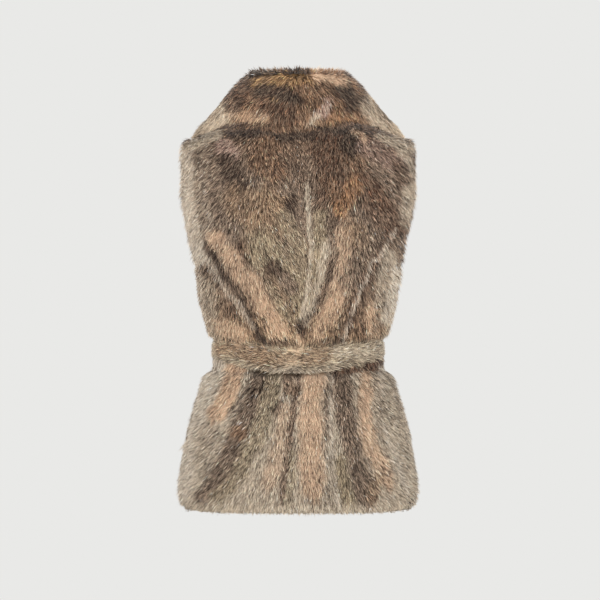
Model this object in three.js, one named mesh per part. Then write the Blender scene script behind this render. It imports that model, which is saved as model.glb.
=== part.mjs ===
// A sleeveless faux fur vest with a wide shawl collar, drawn in at the waist by its own fur belt.
// It keeps the hollow shape that it has when worn. Millimetres, +Z up, the back towards -Y and the
// front towards +Y. The origin is midway between the shoulders, at the height where the inside of the
// shoulder seams rests beside the neck. Each wall is the cloth with its standing fur.
import * as THREE from "three";

// Driving sizes
const SEAM_GAP = 0.3;
const STAND_GAP = 0.5;
const PILE_WALL = 16; // cloth and free fur
const PRESSED_WALL = 8; // cloth and fur pressed flat under the belt or the collar
const HEM_Z = -601;
const UNDERARM_Z = -225;
const YOKE_Z = -110; // from here up the walls round over to the shoulder seam
const HEM_FUR = 6; // how far the fur reaches past a free edge
const ARMHOLE_FUR = 0.3; // of the armhole's half width, where that is less
const FRONT_FUR = 2; // past the front edges, which nearly meet
const ROUNDING = 0.87; // exponent of the rings: 1 is an ellipse, less is squarer
const YOKE_ROUNDING = 0.8; // the same over the shoulders
const SHOULDER_NECK = new THREE.Vector3(68, -6, 4);
const SHOULDER_TIP = new THREE.Vector3(168, -6, -42);
const SHOULDER_FULLNESS = 4; // how far the yoke bulges sideways towards the armhole
const SHOULDER_TURN = 0.35; // of the rounding, over which the fur turns from level to upright
const BACK_NECK = { y: -60, z: 5 };

// The belt and the squeezed band of the body under it
const BELT_HEIGHT = 40;
const BELT_WALL = 14;
const BELT_EDGE_THINNING = 0.45;
const BELT_Z = -358; // its middle at the sides and the front
const SQUEEZE = 22; // half the height of the squeezed band
const SQUEEZE_FADE = 8;
const BACK_SAG = 12; // how much lower the waist and the belt lie at the middle of the back
const SAG_SPREAD = 60; // up and down
const SAG_HALF_WIDTH = 125;
const BELT_HALF_WIDTH = 121; // of its inner face
const BELT_STATIONS = 64;
const BELT_COLUMNS = 6;
const BELT_CLEARANCE = 0.5;
const BELT_START_X = 40; // the end that lies underneath, just past the middle of the front
const BELT_END_X = -52; // the end that laps over it
const BELT_LIFT_SPAN = 0.09; // of the way round, where the upper end climbs over the lower one

// How the grid of each body panel is divided
const COLUMNS = 15;
const NECK_COLUMNS = 5; // of the back panel's columns, those that end on the neckline
const SHOULDER_ROWS = 6;
const ROW_HEIGHTS = [
  HEM_Z, -580, -552, -524, -496, -468, -440, -416, -400, BELT_Z - SQUEEZE - SQUEEZE_FADE,
  BELT_Z - SQUEEZE, BELT_Z, BELT_Z + SQUEEZE, BELT_Z + SQUEEZE + SQUEEZE_FADE, -317, -302, -282, -262, -242,
  UNDERARM_Z, -216, -204, -182, -158, -134, YOKE_Z,
];

// The inner face of the cloth by height: half width at the side seam, and depth at the back and front
const SECTIONS = [
  { z: -601, side: 168, back: 119, front: 117 },
  { z: -560, side: 168, back: 118, front: 116 },
  { z: -500, side: 162, back: 114, front: 112 },
  { z: -450, side: 148, back: 106, front: 106 },
  { z: -416, side: 137, back: 99, front: 101 },
  { z: -400, side: 131, back: 95, front: 98 },
  { z: -388, side: 125, back: 90, front: 93 },
  { z: -380, side: 114, back: 78, front: 85 },
  { z: -336, side: 114, back: 79, front: 86 },
  { z: -328, side: 127, back: 93, front: 98 },
  { z: -317, side: 130, back: 97, front: 102 },
  { z: -288, side: 137, back: 102, front: 107 },
  { z: -262, side: 141, back: 104, front: 111 },
  { z: -225, side: 144, back: 107, front: 117 },
  { z: -182, side: 155, back: 110, front: 119 },
  { z: -134, side: 163, back: 109, front: 113 },
  { z: -110, side: 166, back: 106, front: 107 },
];

// The armhole edges above the underarm: where the back and the front panel end
const ARMHOLE = [
  { z: -225, backX: 144, backY: 0, frontX: 144, frontY: 0 },
  { z: -216, backX: 147, backY: -16, frontX: 144, frontY: 18 },
  { z: -204, backX: 150, backY: -25, frontX: 145, frontY: 29 },
  { z: -182, backX: 155, backY: -33, frontX: 145, frontY: 39 },
  { z: -158, backX: 160, backY: -37, frontX: 145, frontY: 45 },
  { z: -134, backX: 163, backY: -38, frontX: 146, frontY: 48 },
  { z: -110, backX: 166, backY: -36, frontX: 148, frontY: 46 },
];

// The front edge of each front panel, from the hem up to the line where the collar rolls back
const FRONT_EDGE = [
  { z: -601, x: 12 },
  { z: -500, x: 8 },
  { z: -398, x: 5 },
  { z: -337, x: 6 },
  { z: -318, x: 12 },
  { z: -262, x: 20 },
  { z: -182, x: 32 },
  { z: -110, x: 43 },
];

// Creases as seen square on: the upper and lower end, the depth and the half width
const BACK_CREASES = [
  { topX: -62, topZ: -388, lowX: -112, lowZ: -470, depth: 6, width: 10 },
  { topX: -2, topZ: -388, lowX: -22, lowZ: -601, depth: 6, width: 10 },
  { topX: 51, topZ: -388, lowX: 61, lowZ: -601, depth: 6, width: 10 },
  { topX: 122, topZ: -384, lowX: 155, lowZ: -560, depth: 6, width: 9 },
  { topX: 140, topZ: -384, lowX: 165, lowZ: -475, depth: 4, width: 7 },
  { topX: -112, topZ: -384, lowX: -160, lowZ: -490, depth: 5, width: 9 },
  { topX: -38, topZ: -388, lowX: -58, lowZ: -590, depth: 3, width: 9 },
  { topX: 92, topZ: -388, lowX: 108, lowZ: -560, depth: 3, width: 9 },
  { topX: -141, topZ: -200, lowX: -60, lowZ: -334, depth: 6, width: 10 },
  { topX: -46, topZ: -220, lowX: -2, lowZ: -334, depth: 4, width: 9 },
  { topX: 56, topZ: -170, lowX: 9, lowZ: -334, depth: 4, width: 9 },
  { topX: 152, topZ: -183, lowX: 70, lowZ: -334, depth: 6, width: 10 },
  { topX: 141, topZ: -262, lowX: 112, lowZ: -334, depth: 5, width: 8 },
  { topX: -130, topZ: -290, lowX: -98, lowZ: -334, depth: 4, width: 8 },
  { topX: 36, topZ: -285, lowX: 34, lowZ: -334, depth: 3, width: 8 },
];
const FRONT_CREASES = [
  { topX: -30, topZ: -388, lowX: -46, lowZ: -590, depth: 5, width: 10 },
  { topX: 34, topZ: -388, lowX: 44, lowZ: -601, depth: 5, width: 10 },
  { topX: -66, topZ: -388, lowX: -92, lowZ: -560, depth: 6, width: 10 },
  { topX: 72, topZ: -388, lowX: 104, lowZ: -580, depth: 6, width: 10 },
  { topX: -104, topZ: -386, lowX: -140, lowZ: -500, depth: 5, width: 9 },
  { topX: 108, topZ: -386, lowX: 150, lowZ: -540, depth: 5, width: 9 },
  { topX: -132, topZ: -235, lowX: -82, lowZ: -334, depth: 5, width: 10 },
  { topX: 130, topZ: -245, lowX: 78, lowZ: -334, depth: 5, width: 10 },
  { topX: -104, topZ: -262, lowX: -50, lowZ: -334, depth: 4, width: 9 },
  { topX: 100, topZ: -255, lowX: 46, lowZ: -334, depth: 4, width: 9 },
];

const DEEPEST_CREASE = 8;
const CREASE_INSIDE = 0.6; // how much of a crease shows on the inner face

// The collar
const COLLAR_WALL = 14;
const COLLAR_TIP_WALL = 7;
const STAND_WALL = 6;
const STAND_HEIGHT = 52; // from the fur of the neckline up to the roll
const COLLAR_CLEARANCE = 1.6;
const COLLAR_COLUMNS = 9; // of its fall, from the roll to the free edge
const COLLAR_FUR = 5;
const COLLAR_TURN_UP = 2; // how far its free edge turns away from the body
const STATIONS_PER_COLUMN = 2; // round the back of the neck
const STAND_LEVELS = [0, 0.35, 0.7, 0.93];
const FALL_BULGE = 5; // how far the fall rounds out between its roll and its free edge
const FALL_START = 0.07; // of the way down the fall, where it leaves the roll
const LAPEL_END_ROWS = 3;
const LAPEL_END_WALL = 0.5; // of the collar's wall, at the lapel's lower end
// On the front panels: how far across a panel the lapel reaches, and how high its roll stands
const LAPEL = [
  { z: -328, reach: 0.1, stand: 2 },
  { z: -302, reach: 0.2, stand: 4 },
  { z: -262, reach: 0.34, stand: 6 },
  { z: -225, reach: 0.44, stand: 8 },
  { z: -182, reach: 0.53, stand: 10 },
  { z: -134, reach: 0.61, stand: 14 },
  { z: -110, reach: 0.65, stand: 18 },
];
const LAPEL_BOTTOM_Z = -330; // just under the row on which the lapel ends
const SHOULDER_REACH = 0.82; // of the shoulder seam, where the fall's free edge crosses it
// On the back panels: the rise, from the yoke at 1 to the top edge at 2, where the fall ends
const BACK_FALL = [
  { share: 0, rise: 1.82 },
  { share: 0.2, rise: 1.76 },
  { share: 0.34, rise: 1.74 },
  { share: 0.48, rise: 1.81 },
  { share: 0.66, rise: 1.91 },
  { share: 0.88, rise: 2 },
];
const FUR_HELD = 0.07; // share of a panel past the free edge that stays pressed
const FUR_FADE = 0.2; // share of a panel past the free edge where the fur stands fully again
const SEAM_STRETCH = 1.5; // rises to one share of the shoulder seam

const UP = new THREE.Vector3(0, 0, 1);
const BACK = -1;
const FRONT = 1;

const lerp = THREE.MathUtils.lerp;
const smooth = THREE.MathUtils.smoothstep;

// The value of a named column where the key column has a value, along a curve that never overshoots
function columnAt(rows, column, at, key = "z") {
  const last = rows.length - 1;
  if (at <= rows[0][key]) return rows[0][column];
  if (at >= rows[last][key]) return rows[last][column];
  let k = 0;
  while (rows[k + 1][key] < at) k += 1;
  const slope = (i) => (rows[i + 1][column] - rows[i][column]) / (rows[i + 1][key] - rows[i][key]);
  const tangent = (i) => {
    if (i === 0 || i === last) return 0;
    const before = slope(i - 1);
    const after = slope(i);
    return before * after <= 0 ? 0 : (2 * before * after) / (before + after);
  };
  const span = rows[k + 1][key] - rows[k][key];
  const t = (at - rows[k][key]) / span;
  return (
    rows[k][column] * (1 + 2 * t) * (1 - t) ** 2 +
    rows[k + 1][column] * t * t * (3 - 2 * t) +
    span * (tangent(k) * t * (1 - t) ** 2 - tangent(k + 1) * t * t * (1 - t))
  );
}

// How much lower the waist lies, most at the middle of the back and nothing at the sides and front
function sagAt(side, x, z) {
  if (side !== BACK) return 0;
  const across = Math.cos(Math.min(1, Math.abs(x) / SAG_HALF_WIDTH) * (Math.PI / 2)) ** 2;
  return BACK_SAG * across * Math.exp(-(((z - BELT_Z) / SAG_SPREAD) ** 2));
}

// A point of the cloth's inner face on a level ring. Share runs from the middle edge to the side.
function ringPoint(side, share, z) {
  const depth = side * columnAt(SECTIONS, side === BACK ? "back" : "front", z);
  const middleX = side === BACK ? SEAM_GAP / 2 : columnAt(FRONT_EDGE, "x", z);
  let sideX = columnAt(SECTIONS, "side", z);
  let sideY = (side * SEAM_GAP) / 2;
  if (z > UNDERARM_Z) {
    sideX = columnAt(ARMHOLE, side === BACK ? "backX" : "frontX", z);
    sideY += columnAt(ARMHOLE, side === BACK ? "backY" : "frontY", z);
  }
  const turn = (share * Math.PI) / 2;
  const x = middleX + (sideX - middleX) * Math.sin(turn) ** ROUNDING;
  const y = sideY + (depth - sideY) * Math.max(0, Math.cos(turn)) ** ROUNDING;
  return new THREE.Vector3(x, y, z - sagAt(side, x, z));
}

// A point of the top edge: the back neckline, then the shoulder seam. The front has the seam alone.
function topPoint(side, share) {
  const neckShare = side === BACK ? NECK_COLUMNS / COLUMNS : 0;
  if (share < neckShare) {
    const turn = ((share / neckShare) * Math.PI) / 2;
    const x = SEAM_GAP / 2 + (SHOULDER_NECK.x - SEAM_GAP / 2) * Math.sin(turn);
    const y = SHOULDER_NECK.y + (BACK_NECK.y - SHOULDER_NECK.y) * Math.cos(turn);
    return new THREE.Vector3(x, y - SEAM_GAP / 2, lerp(BACK_NECK.z, SHOULDER_NECK.z, share / neckShare));
  }
  const point = SHOULDER_NECK.clone().lerp(SHOULDER_TIP, (share - neckShare) / (1 - neckShare));
  point.y += (side * SEAM_GAP) / 2;
  return point;
}

// A point of the inner face. Rise runs from 0 at the hem to 1 at the yoke and 2 at the top edge.
function facePoint(side, share, rise) {
  if (rise <= 1) return ringPoint(side, share, lerp(HEM_Z, YOKE_Z, rise));
  const low = ringPoint(side, share, YOKE_Z);
  const high = topPoint(side, share);
  const steepest = side === BACK ? lerp(60, 86, smooth(share, 0, 0.35)) : 84;
  const end = THREE.MathUtils.degToRad(steepest);
  const turn = (rise - 1) * end;
  const square = lerp(1, YOKE_ROUNDING, smooth(share, 0, 0.3));
  const along = (Math.sin(turn) / Math.sin(end)) ** square;
  const level = (angle) => Math.cos(angle) ** square;
  const across = (level(turn) - level(end)) / (1 - level(end));
  const bulge = Math.sin((rise - 1) * Math.PI) * SHOULDER_FULLNESS * share;
  return new THREE.Vector3(
    lerp(low.x, high.x, rise - 1) + bulge,
    lerp(high.y, low.y, across),
    lerp(low.z, high.z, along),
  );
}

// The direction in which the fur stands: level on the body, and turning upwards over the shoulder
function faceNormal(side, share, rise) {
  const step = 0.01;
  const acrossRow = facePoint(side, Math.min(1, share + step), rise).sub(
    facePoint(side, Math.max(0, share - step), rise),
  );
  const upColumn = facePoint(side, share, Math.min(2, rise + step)).sub(
    facePoint(side, share, Math.max(0, rise - step)),
  );
  const normal = acrossRow.cross(upColumn).multiplyScalar(-side).normalize();
  normal.z = Math.max(0, normal.z) * smooth(rise, 1, 1 + SHOULDER_TURN);
  if (share === 0 && side === BACK) normal.x = 0;
  if (share === 1 && lerp(HEM_Z, YOKE_Z, rise) < UNDERARM_Z + 1) normal.y = 0;
  if (rise === 2 && share >= (side === BACK ? NECK_COLUMNS / COLUMNS : 0)) {
    const along = SHOULDER_TIP.clone().sub(SHOULDER_NECK);
    normal.set(-along.z, 0, along.x);
  }
  return normal.normalize();
}

// How far the creases draw the wall in at a point
function creaseAt(side, x, z) {
  const creases = side === BACK ? BACK_CREASES : FRONT_CREASES;
  let depth = 0;
  for (const crease of creases) {
    const dx = crease.lowX - crease.topX;
    const dz = crease.lowZ - crease.topZ;
    const along = ((x - crease.topX) * dx + (z - crease.topZ) * dz) / (dx * dx + dz * dz);
    const held = THREE.MathUtils.clamp(along, 0, 1);
    const away = Math.hypot(x - crease.topX - held * dx, z - crease.topZ - held * dz);
    depth += crease.depth * Math.exp(-((away / crease.width) ** 2));
  }
  return Math.min(depth, DEEPEST_CREASE);
}

// How far across the front panel the lapel reaches
function lapelReach(z) {
  return columnAt(LAPEL, "reach", z);
}

// Where the seam's own share lies on the back panel, whose top edge begins with the neckline
function backShare(seamShare) {
  return lerp(NECK_COLUMNS / COLUMNS, 1, seamShare);
}

// The rise at which the collar's free edge crosses a share of the back panel
function backFallRise(share) {
  const reach = backShare(SHOULDER_REACH);
  if (share > reach) return 2 + ((share - reach) * SEAM_STRETCH * COLUMNS) / (COLUMNS - NECK_COLUMNS);
  return columnAt(BACK_FALL, "rise", share, "share");
}

// The wall's thickness: pressed under the belt and under the collar
function wallAt(side, share, rise) {
  const z = lerp(HEM_Z, YOKE_Z, Math.min(rise, 1));
  const belted = 1 - smooth(Math.abs(z - BELT_Z), SQUEEZE, SQUEEZE + SQUEEZE_FADE);
  let covered = 0;
  if (side === BACK) {
    covered = smooth((rise - backFallRise(share)) / SEAM_STRETCH, -FUR_FADE, -FUR_HELD);
  } else if (z > LAPEL_BOTTOM_Z) {
    const reach = lerp(lapelReach(z), SHOULDER_REACH, Math.max(0, rise - 1));
    covered = smooth(reach - share, -FUR_FADE, -FUR_HELD);
  }
  return lerp(PILE_WALL, PRESSED_WALL, Math.max(belted, covered));
}

// The inner or outer point of a body panel's wall, with the creases of the side that hand says
function bodyPoint(side, hand, share, rise, layer) {
  const point = facePoint(side, share, rise);
  const normal = faceNormal(side, share, rise);
  const crease = creaseAt(side, hand * point.x, point.z);
  const out = layer * wallAt(side, share, rise) - crease * lerp(CREASE_INSIDE, 1, layer);
  return point.addScaledVector(normal, out);
}

const RISES = ROW_HEIGHTS.map((z) => (z - HEM_Z) / (YOKE_Z - HEM_Z));
for (let k = 1; k <= SHOULDER_ROWS; k += 1) RISES.push(1 + k / SHOULDER_ROWS);

// A panel's own points by row and column, for each layer of its wall
function panelGrid(side, hand, layer) {
  return RISES.map((rise) =>
    Array.from({ length: COLUMNS + 1 }, (_, j) => bodyPoint(side, hand, j / COLUMNS, rise, layer)),
  );
}

// A point on the flat faces between those points
function panelPoint(grid, share, rise) {
  let i = 0;
  while (i + 2 < RISES.length && RISES[i + 1] < rise) i += 1;
  const u = (rise - RISES[i]) / (RISES[i + 1] - RISES[i]);
  const j = Math.min(COLUMNS - 1, Math.floor(share * COLUMNS));
  const v = share * COLUMNS - j;
  const low = grid[i][j].clone().lerp(grid[i][j + 1], v);
  return low.lerp(grid[i + 1][j].clone().lerp(grid[i + 1][j + 1], v), u);
}

// A closed wall from its inner and outer grids. The rim moves the middle of each free edge out.
function wallGeometry(inner, outer, rimMove) {
  const rows = inner.length;
  const columns = inner[0].length;
  const positions = [];
  for (const point of [inner, outer].flat(2)) positions.push(point.x, point.y, point.z);
  const at = (layer, i, j) => (layer * rows + i) * columns + j;
  const faces = [];
  const quad = (a, b, c, d) => faces.push(a, b, c, a, c, d);
  for (let i = 0; i + 1 < rows; i += 1) {
    for (let j = 0; j + 1 < columns; j += 1) {
      quad(at(1, i, j), at(1, i, j + 1), at(1, i + 1, j + 1), at(1, i + 1, j));
      quad(at(0, i, j), at(0, i + 1, j), at(0, i + 1, j + 1), at(0, i, j + 1));
    }
  }
  const loop = [];
  for (let j = 0; j < columns; j += 1) loop.push([0, j]);
  for (let i = 1; i < rows; i += 1) loop.push([i, columns - 1]);
  for (let j = columns - 2; j >= 0; j -= 1) loop.push([rows - 1, j]);
  for (let i = rows - 2; i > 0; i -= 1) loop.push([i, 0]);
  const rimStart = positions.length / 3;
  for (const [i, j] of loop) {
    const middle = inner[i][j].clone().add(outer[i][j]).multiplyScalar(0.5);
    middle.add(rimMove(i, j));
    positions.push(middle.x, middle.y, middle.z);
  }
  for (let k = 0; k < loop.length; k += 1) {
    const next = (k + 1) % loop.length;
    const [i, j] = loop[k];
    const [m, n] = loop[next];
    quad(at(0, i, j), at(0, m, n), rimStart + next, rimStart + k);
    quad(rimStart + k, rimStart + next, at(1, m, n), at(1, i, j));
  }
  const geometry = new THREE.BufferGeometry();
  geometry.setAttribute("position", new THREE.Float32BufferAttribute(positions, 3));
  geometry.setIndex(isInsideOut(positions, faces) ? faces.reverse() : faces);
  geometry.computeVertexNormals();
  return geometry;
}

// True if the faces of a closed mesh point inwards
function isInsideOut(positions, faces) {
  const a = new THREE.Vector3();
  const b = new THREE.Vector3();
  const c = new THREE.Vector3();
  let volume = 0;
  for (let k = 0; k < faces.length; k += 3) {
    a.fromArray(positions, faces[k] * 3);
    b.fromArray(positions, faces[k + 1] * 3);
    c.fromArray(positions, faces[k + 2] * 3);
    volume += a.dot(b.cross(c));
  }
  return volume < 0;
}

// A point of the half that is drawn, brought to the side that hand says
function mirrored(point, hand) {
  return new THREE.Vector3(hand * point.x, point.y, point.z);
}

// One quarter of the body, from the hem to the shoulder seam
function bodyPanel(side, hand) {
  const layerGrid = (layer) => panelGrid(side, hand, layer).map((row) => row.map((p) => mirrored(p, hand)));
  const inner = layerGrid(0);
  const outer = layerGrid(1);
  const rimMove = (i, j) => {
    const move = new THREE.Vector3();
    const { y, z } = inner[i][j];
    const onArmhole = j === COLUMNS && RISES[i] < 2 && z > UNDERARM_Z + 1;
    const onSkirtFront = j === 0 && side === FRONT && i > 0 && z < BELT_Z - SQUEEZE - 1;
    if (i === 0) move.z = -HEM_FUR;
    if (onArmhole) move.y = -side * Math.min(HEM_FUR, ARMHOLE_FUR * Math.abs(y));
    if (onSkirtFront) move.x = -hand * FRONT_FUR;
    return move;
  };
  return wallGeometry(inner, outer, rimMove);
}

// A point of the belt. Travel is the way round from the middle of the front; across runs up its height.
function beltPoint(travel, across, layer) {
  const turn = travel * 2 * Math.PI;
  const side = Math.cos(turn) < 0 ? BACK : FRONT;
  const hand = Math.sin(turn) < 0 ? -1 : 1;
  const share = Math.abs(Math.asin(Math.abs(Math.sin(turn)))) / (Math.PI / 2);
  const z = BELT_Z + (across - 0.5) * BELT_HEIGHT;
  const base = ringPoint(side, share, z);
  const normal = faceNormal(side, share, (z - HEM_Z) / (YOKE_Z - HEM_Z));
  const climb = travel - BELT_TRAVEL.end + BELT_TRAVEL.lap + BELT_LIFT_SPAN;
  const lift = smooth(climb, 0, BELT_LIFT_SPAN) * (BELT_WALL + BELT_CLEARANCE);
  const edge = Math.abs(2 * across - 1);
  const thickness = BELT_WALL * (1 - BELT_EDGE_THINNING * edge ** 3);
  const out = PRESSED_WALL + BELT_CLEARANCE + lift + layer * thickness;
  return mirrored(base.addScaledVector(normal, out), hand);
}

// The belt starts on one side of the front's middle, goes once round and past its start again
const BELT_TRAVEL = (() => {
  const travelOf = (x) => Math.asin(Math.abs(x / BELT_HALF_WIDTH) ** (1 / ROUNDING)) / (2 * Math.PI);
  const start = -travelOf(BELT_START_X);
  const end = 1 + travelOf(-BELT_END_X);
  return { start, end, lap: end - 1 - start };
})();

// The whole belt, with its lower end under its upper one
function belt() {
  const grid = (layer) =>
    Array.from({ length: BELT_STATIONS + 1 }, (_, i) =>
      Array.from({ length: BELT_COLUMNS + 1 }, (_, j) =>
        beltPoint(lerp(BELT_TRAVEL.start, BELT_TRAVEL.end, i / BELT_STATIONS), j / BELT_COLUMNS, layer),
      ),
    );
  return wallGeometry(grid(0), grid(1), () => new THREE.Vector3());
}

// The stations along half of the collar: where each starts on the neckline and ends on the body
function collarStations() {
  const stations = [];
  const backStations = NECK_COLUMNS * STATIONS_PER_COLUMN;
  for (let k = 0; k < backStations; k += 1) {
    const round = k / backStations;
    const share = backShare(SHOULDER_REACH) * round;
    stations.push({
      side: BACK,
      from: [backShare(0) * round, 2],
      to: [share, backFallRise(share)],
      stand: STAND_HEIGHT,
      upright: 1,
    });
  }
  for (let i = RISES.length - 1; i >= 0; i -= 1) {
    const rise = RISES[i];
    const z = lerp(HEM_Z, YOKE_Z, Math.min(rise, 1));
    if (z < LAPEL_BOTTOM_Z) break;
    const shoulder = Math.max(0, rise - 1);
    stations.push({
      side: FRONT,
      from: [0, rise],
      to: [lerp(lapelReach(z), SHOULDER_REACH, shoulder), rise],
      stand: lerp(columnAt(LAPEL, "stand", z), STAND_HEIGHT, shoulder ** 1.4),
      upright: smooth(shoulder, 0, 0.8),
    });
  }
  return stations;
}

// The underside of one station: up the stand from the neckline, over, and down the fall
function collarSeat(station, layers) {
  const { side, from, to, stand, upright } = station;
  const shareAt = (w) => lerp(from[0], to[0], w);
  const riseAt = (w) => lerp(from[1], to[1], w);
  const bodyAt = (w, layer) => panelPoint(layers[side][layer], shareAt(w), riseAt(w));
  const normalAt = (w) => faceNormal(side, shareAt(w), riseAt(w));
  const foot = bodyAt(0, 0);
  const up = normalAt(0).lerp(UP, upright).normalize();
  const away = bodyAt(0.12, 0).sub(foot);
  if (side === BACK) {
    const behind = panelPoint(layers[side][0], Math.max(0, from[0] - 0.5 / COLUMNS), 2);
    const ahead = panelPoint(layers[side][0], from[0] + 0.5 / COLUMNS, 2);
    away.copy(ahead.sub(behind)).cross(UP);
  }
  if (side === BACK && from[0] === 0) away.x = 0;
  away.addScaledVector(up, -away.dot(up)).normalize();
  const height = PRESSED_WALL + stand;
  const roll = foot.clone().addScaledVector(up, height).addScaledVector(away, STAND_GAP);
  foot.addScaledVector(away, -STAND_GAP);
  const chain = STAND_LEVELS.map((level) => foot.clone().addScaledVector(up, level * height));
  chain.push(roll);
  const end = bodyAt(1, 1).addScaledVector(normalAt(1), COLLAR_CLEARANCE);
  for (let j = 0; j <= COLLAR_COLUMNS; j += 1) {
    const w = lerp(FALL_START, 1, j / COLLAR_COLUMNS);
    const laid = bodyAt(w, 1).addScaledVector(normalAt(w), COLLAR_CLEARANCE);
    laid.addScaledVector(up, stand * (1 - w));
    const stretched = roll.clone().lerp(end, w);
    stretched.addScaledVector(normalAt(w), FALL_BULGE * Math.sin(w * Math.PI));
    chain.push(laid.lerp(stretched, upright));
  }
  return chain;
}

// The directions in which a grid of points faces, with its first row on the plane of the middle seam
function gridNormals(grid) {
  const normalAt = (i, j) => {
    const before = i > 0 ? grid[i - 1][j] : mirrored(grid[1][j], -1);
    const after = grid[Math.min(i + 1, grid.length - 1)][j];
    const along = after.clone().sub(before);
    const across = grid[i][Math.min(j + 1, grid[i].length - 1)].clone().sub(grid[i][Math.max(j - 1, 0)]);
    const normal = across.cross(along).normalize();
    if (i === 0) normal.x = 0;
    return normal.normalize();
  };
  return grid.map((row, i) => row.map((_, j) => normalAt(i, j)));
}

// The collar's thickness: thin on the stand, and thinning towards its free edge and its lower end
function collarWallAt(fromEnd, column) {
  if (column < STAND_LEVELS.length) return STAND_WALL;
  const lastColumn = STAND_LEVELS.length + COLLAR_COLUMNS + 1;
  const wall = lerp(COLLAR_WALL, COLLAR_TIP_WALL, smooth(column, lastColumn - 3, lastColumn));
  return wall * lerp(LAPEL_END_WALL, 1, smooth(fromEnd, 0, LAPEL_END_ROWS));
}

// Half of the collar, from the middle seam at the back down to the lapel's end
function collarHalf(hand) {
  const layersOf = (side) => [panelGrid(side, hand, 0), panelGrid(side, hand, 1)];
  const layers = { [BACK]: layersOf(BACK), [FRONT]: layersOf(FRONT) };
  const seats = collarStations().map((station) => collarSeat(station, layers));
  for (const point of seats[0]) point.x = SEAM_GAP / 2;
  const normals = gridNormals(seats);
  const facePointAt = (i, j) =>
    seats[i][j].clone().addScaledVector(normals[i][j], collarWallAt(seats.length - 1 - i, j));
  const faces = seats.map((row, i) => row.map((_, j) => facePointAt(i, j)));
  const inner = seats.map((row) => row.map((p) => mirrored(p, hand)));
  const outer = faces.map((row) => row.map((p) => mirrored(p, hand)));
  const last = inner[0].length - 1;
  const rimMove = (i, j) => {
    const move = new THREE.Vector3();
    if (j !== last) return move;
    move.copy(outer[i][last]).sub(outer[i][last - 1]).setLength(COLLAR_FUR);
    move.add(outer[i][last].clone().sub(inner[i][last]).setLength(COLLAR_TURN_UP));
    if (i === 0) move.x = 0;
    return move;
  };
  return wallGeometry(inner, outer, rimMove);
}

// The finishes
const FUR = { roughness: 0.9, metalness: 0 };
const bodyFur = new THREE.MeshStandardMaterial({ color: 0xa89682, ...FUR });
const collarFur = new THREE.MeshStandardMaterial({ color: 0x8c7460, ...FUR });
const beltFur = new THREE.MeshStandardMaterial({ color: 0xb09c82, ...FUR });

// A named piece
function piece(name, geometry, material) {
  const mesh = new THREE.Mesh(geometry, material);
  mesh.name = name;
  return mesh;
}

const vest = new THREE.Group();
vest.add(piece("back_left", bodyPanel(BACK, -1), bodyFur));
vest.add(piece("back_right", bodyPanel(BACK, 1), bodyFur));
vest.add(piece("front_left", bodyPanel(FRONT, -1), bodyFur));
vest.add(piece("front_right", bodyPanel(FRONT, 1), bodyFur));
vest.add(piece("collar_left", collarHalf(-1), collarFur));
vest.add(piece("collar_right", collarHalf(1), collarFur));
vest.add(piece("belt", belt(), beltFur));

export default vest;
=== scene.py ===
"""A sleeveless faux fur vest with a wide shawl collar and its own belt, in its hollow worn shape.

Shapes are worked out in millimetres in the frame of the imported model, with the back towards -Y, and
are brought to metres when a mesh is made. Each part is a thin cloth on the solid's form with a pile
of tapered strands on it. A share runs across a panel from its middle edge to its side, and a rise
runs from 0 at the hem over 1 at the yoke to 2 at the top edge.
"""

from __future__ import annotations

import logging
from dataclasses import dataclass, field
from enum import Enum

import bpy
import numpy as np
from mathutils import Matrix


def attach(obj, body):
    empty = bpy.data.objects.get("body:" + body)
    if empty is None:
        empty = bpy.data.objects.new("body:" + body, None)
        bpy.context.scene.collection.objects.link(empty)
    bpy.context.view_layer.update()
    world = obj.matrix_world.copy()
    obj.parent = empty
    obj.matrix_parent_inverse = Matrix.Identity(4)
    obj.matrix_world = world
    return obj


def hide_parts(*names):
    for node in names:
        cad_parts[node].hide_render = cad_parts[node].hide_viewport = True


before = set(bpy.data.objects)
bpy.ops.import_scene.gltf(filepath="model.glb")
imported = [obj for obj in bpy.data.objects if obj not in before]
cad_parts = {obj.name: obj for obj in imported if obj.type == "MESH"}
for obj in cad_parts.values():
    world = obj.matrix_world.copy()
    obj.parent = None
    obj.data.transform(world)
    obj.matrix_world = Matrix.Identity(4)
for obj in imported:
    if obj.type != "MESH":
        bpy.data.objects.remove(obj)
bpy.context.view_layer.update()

log = logging.getLogger("vest")
Array = np.ndarray
METRE = 1000.0  # millimetres


class Side(Enum):
    """The two sides of the body; the value is the direction of its depth along Y."""

    BACK = -1
    FRONT = 1


class Dye(Enum):
    """The colours of the pile, as they look in even light (sRGB, 0 to 255)."""

    PALE = (177, 164, 149)
    GREIGE = (163, 149, 132)
    OLIVE = (147, 132, 109)
    STONE = (124, 106, 91)
    PEACH = (178, 150, 126)
    SAND = (143, 117, 93)
    COPPER = (146, 108, 78)
    OCHRE = (143, 111, 74)
    CHESTNUT = (121, 91, 69)
    UMBER = (90, 62, 46)
    CHARCOAL = (62, 45, 36)
    MAUVE = (152, 127, 114)
    CREAM = (198, 173, 147)

    def linear(self) -> Array:
        """The colour as linear light."""
        return to_linear(self.value)


@dataclass(frozen=True)
class Stripe:
    """A soft stripe or patch of one dye, seen square on: its middle line in X and Z."""

    dye: Dye
    half_width: float
    strength: float
    line: tuple[tuple[float, float], ...]
    back_only: bool = False  # whether it leaves the pile of the front as it is


def stripes(*rows: tuple, back_only: bool = False) -> tuple[Stripe, ...]:
    """Stripes from rows of a dye, a half width, a strength and the points of the middle line."""
    return tuple(Stripe(*row[:3], row[3:], back_only) for row in rows)


@dataclass(frozen=True)
class Crease:
    """A soft trough in the cloth, seen square on: its two ends in X and Z, and its section."""

    top: tuple[float, float]
    low: tuple[float, float]
    depth: float
    half_width: float


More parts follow.
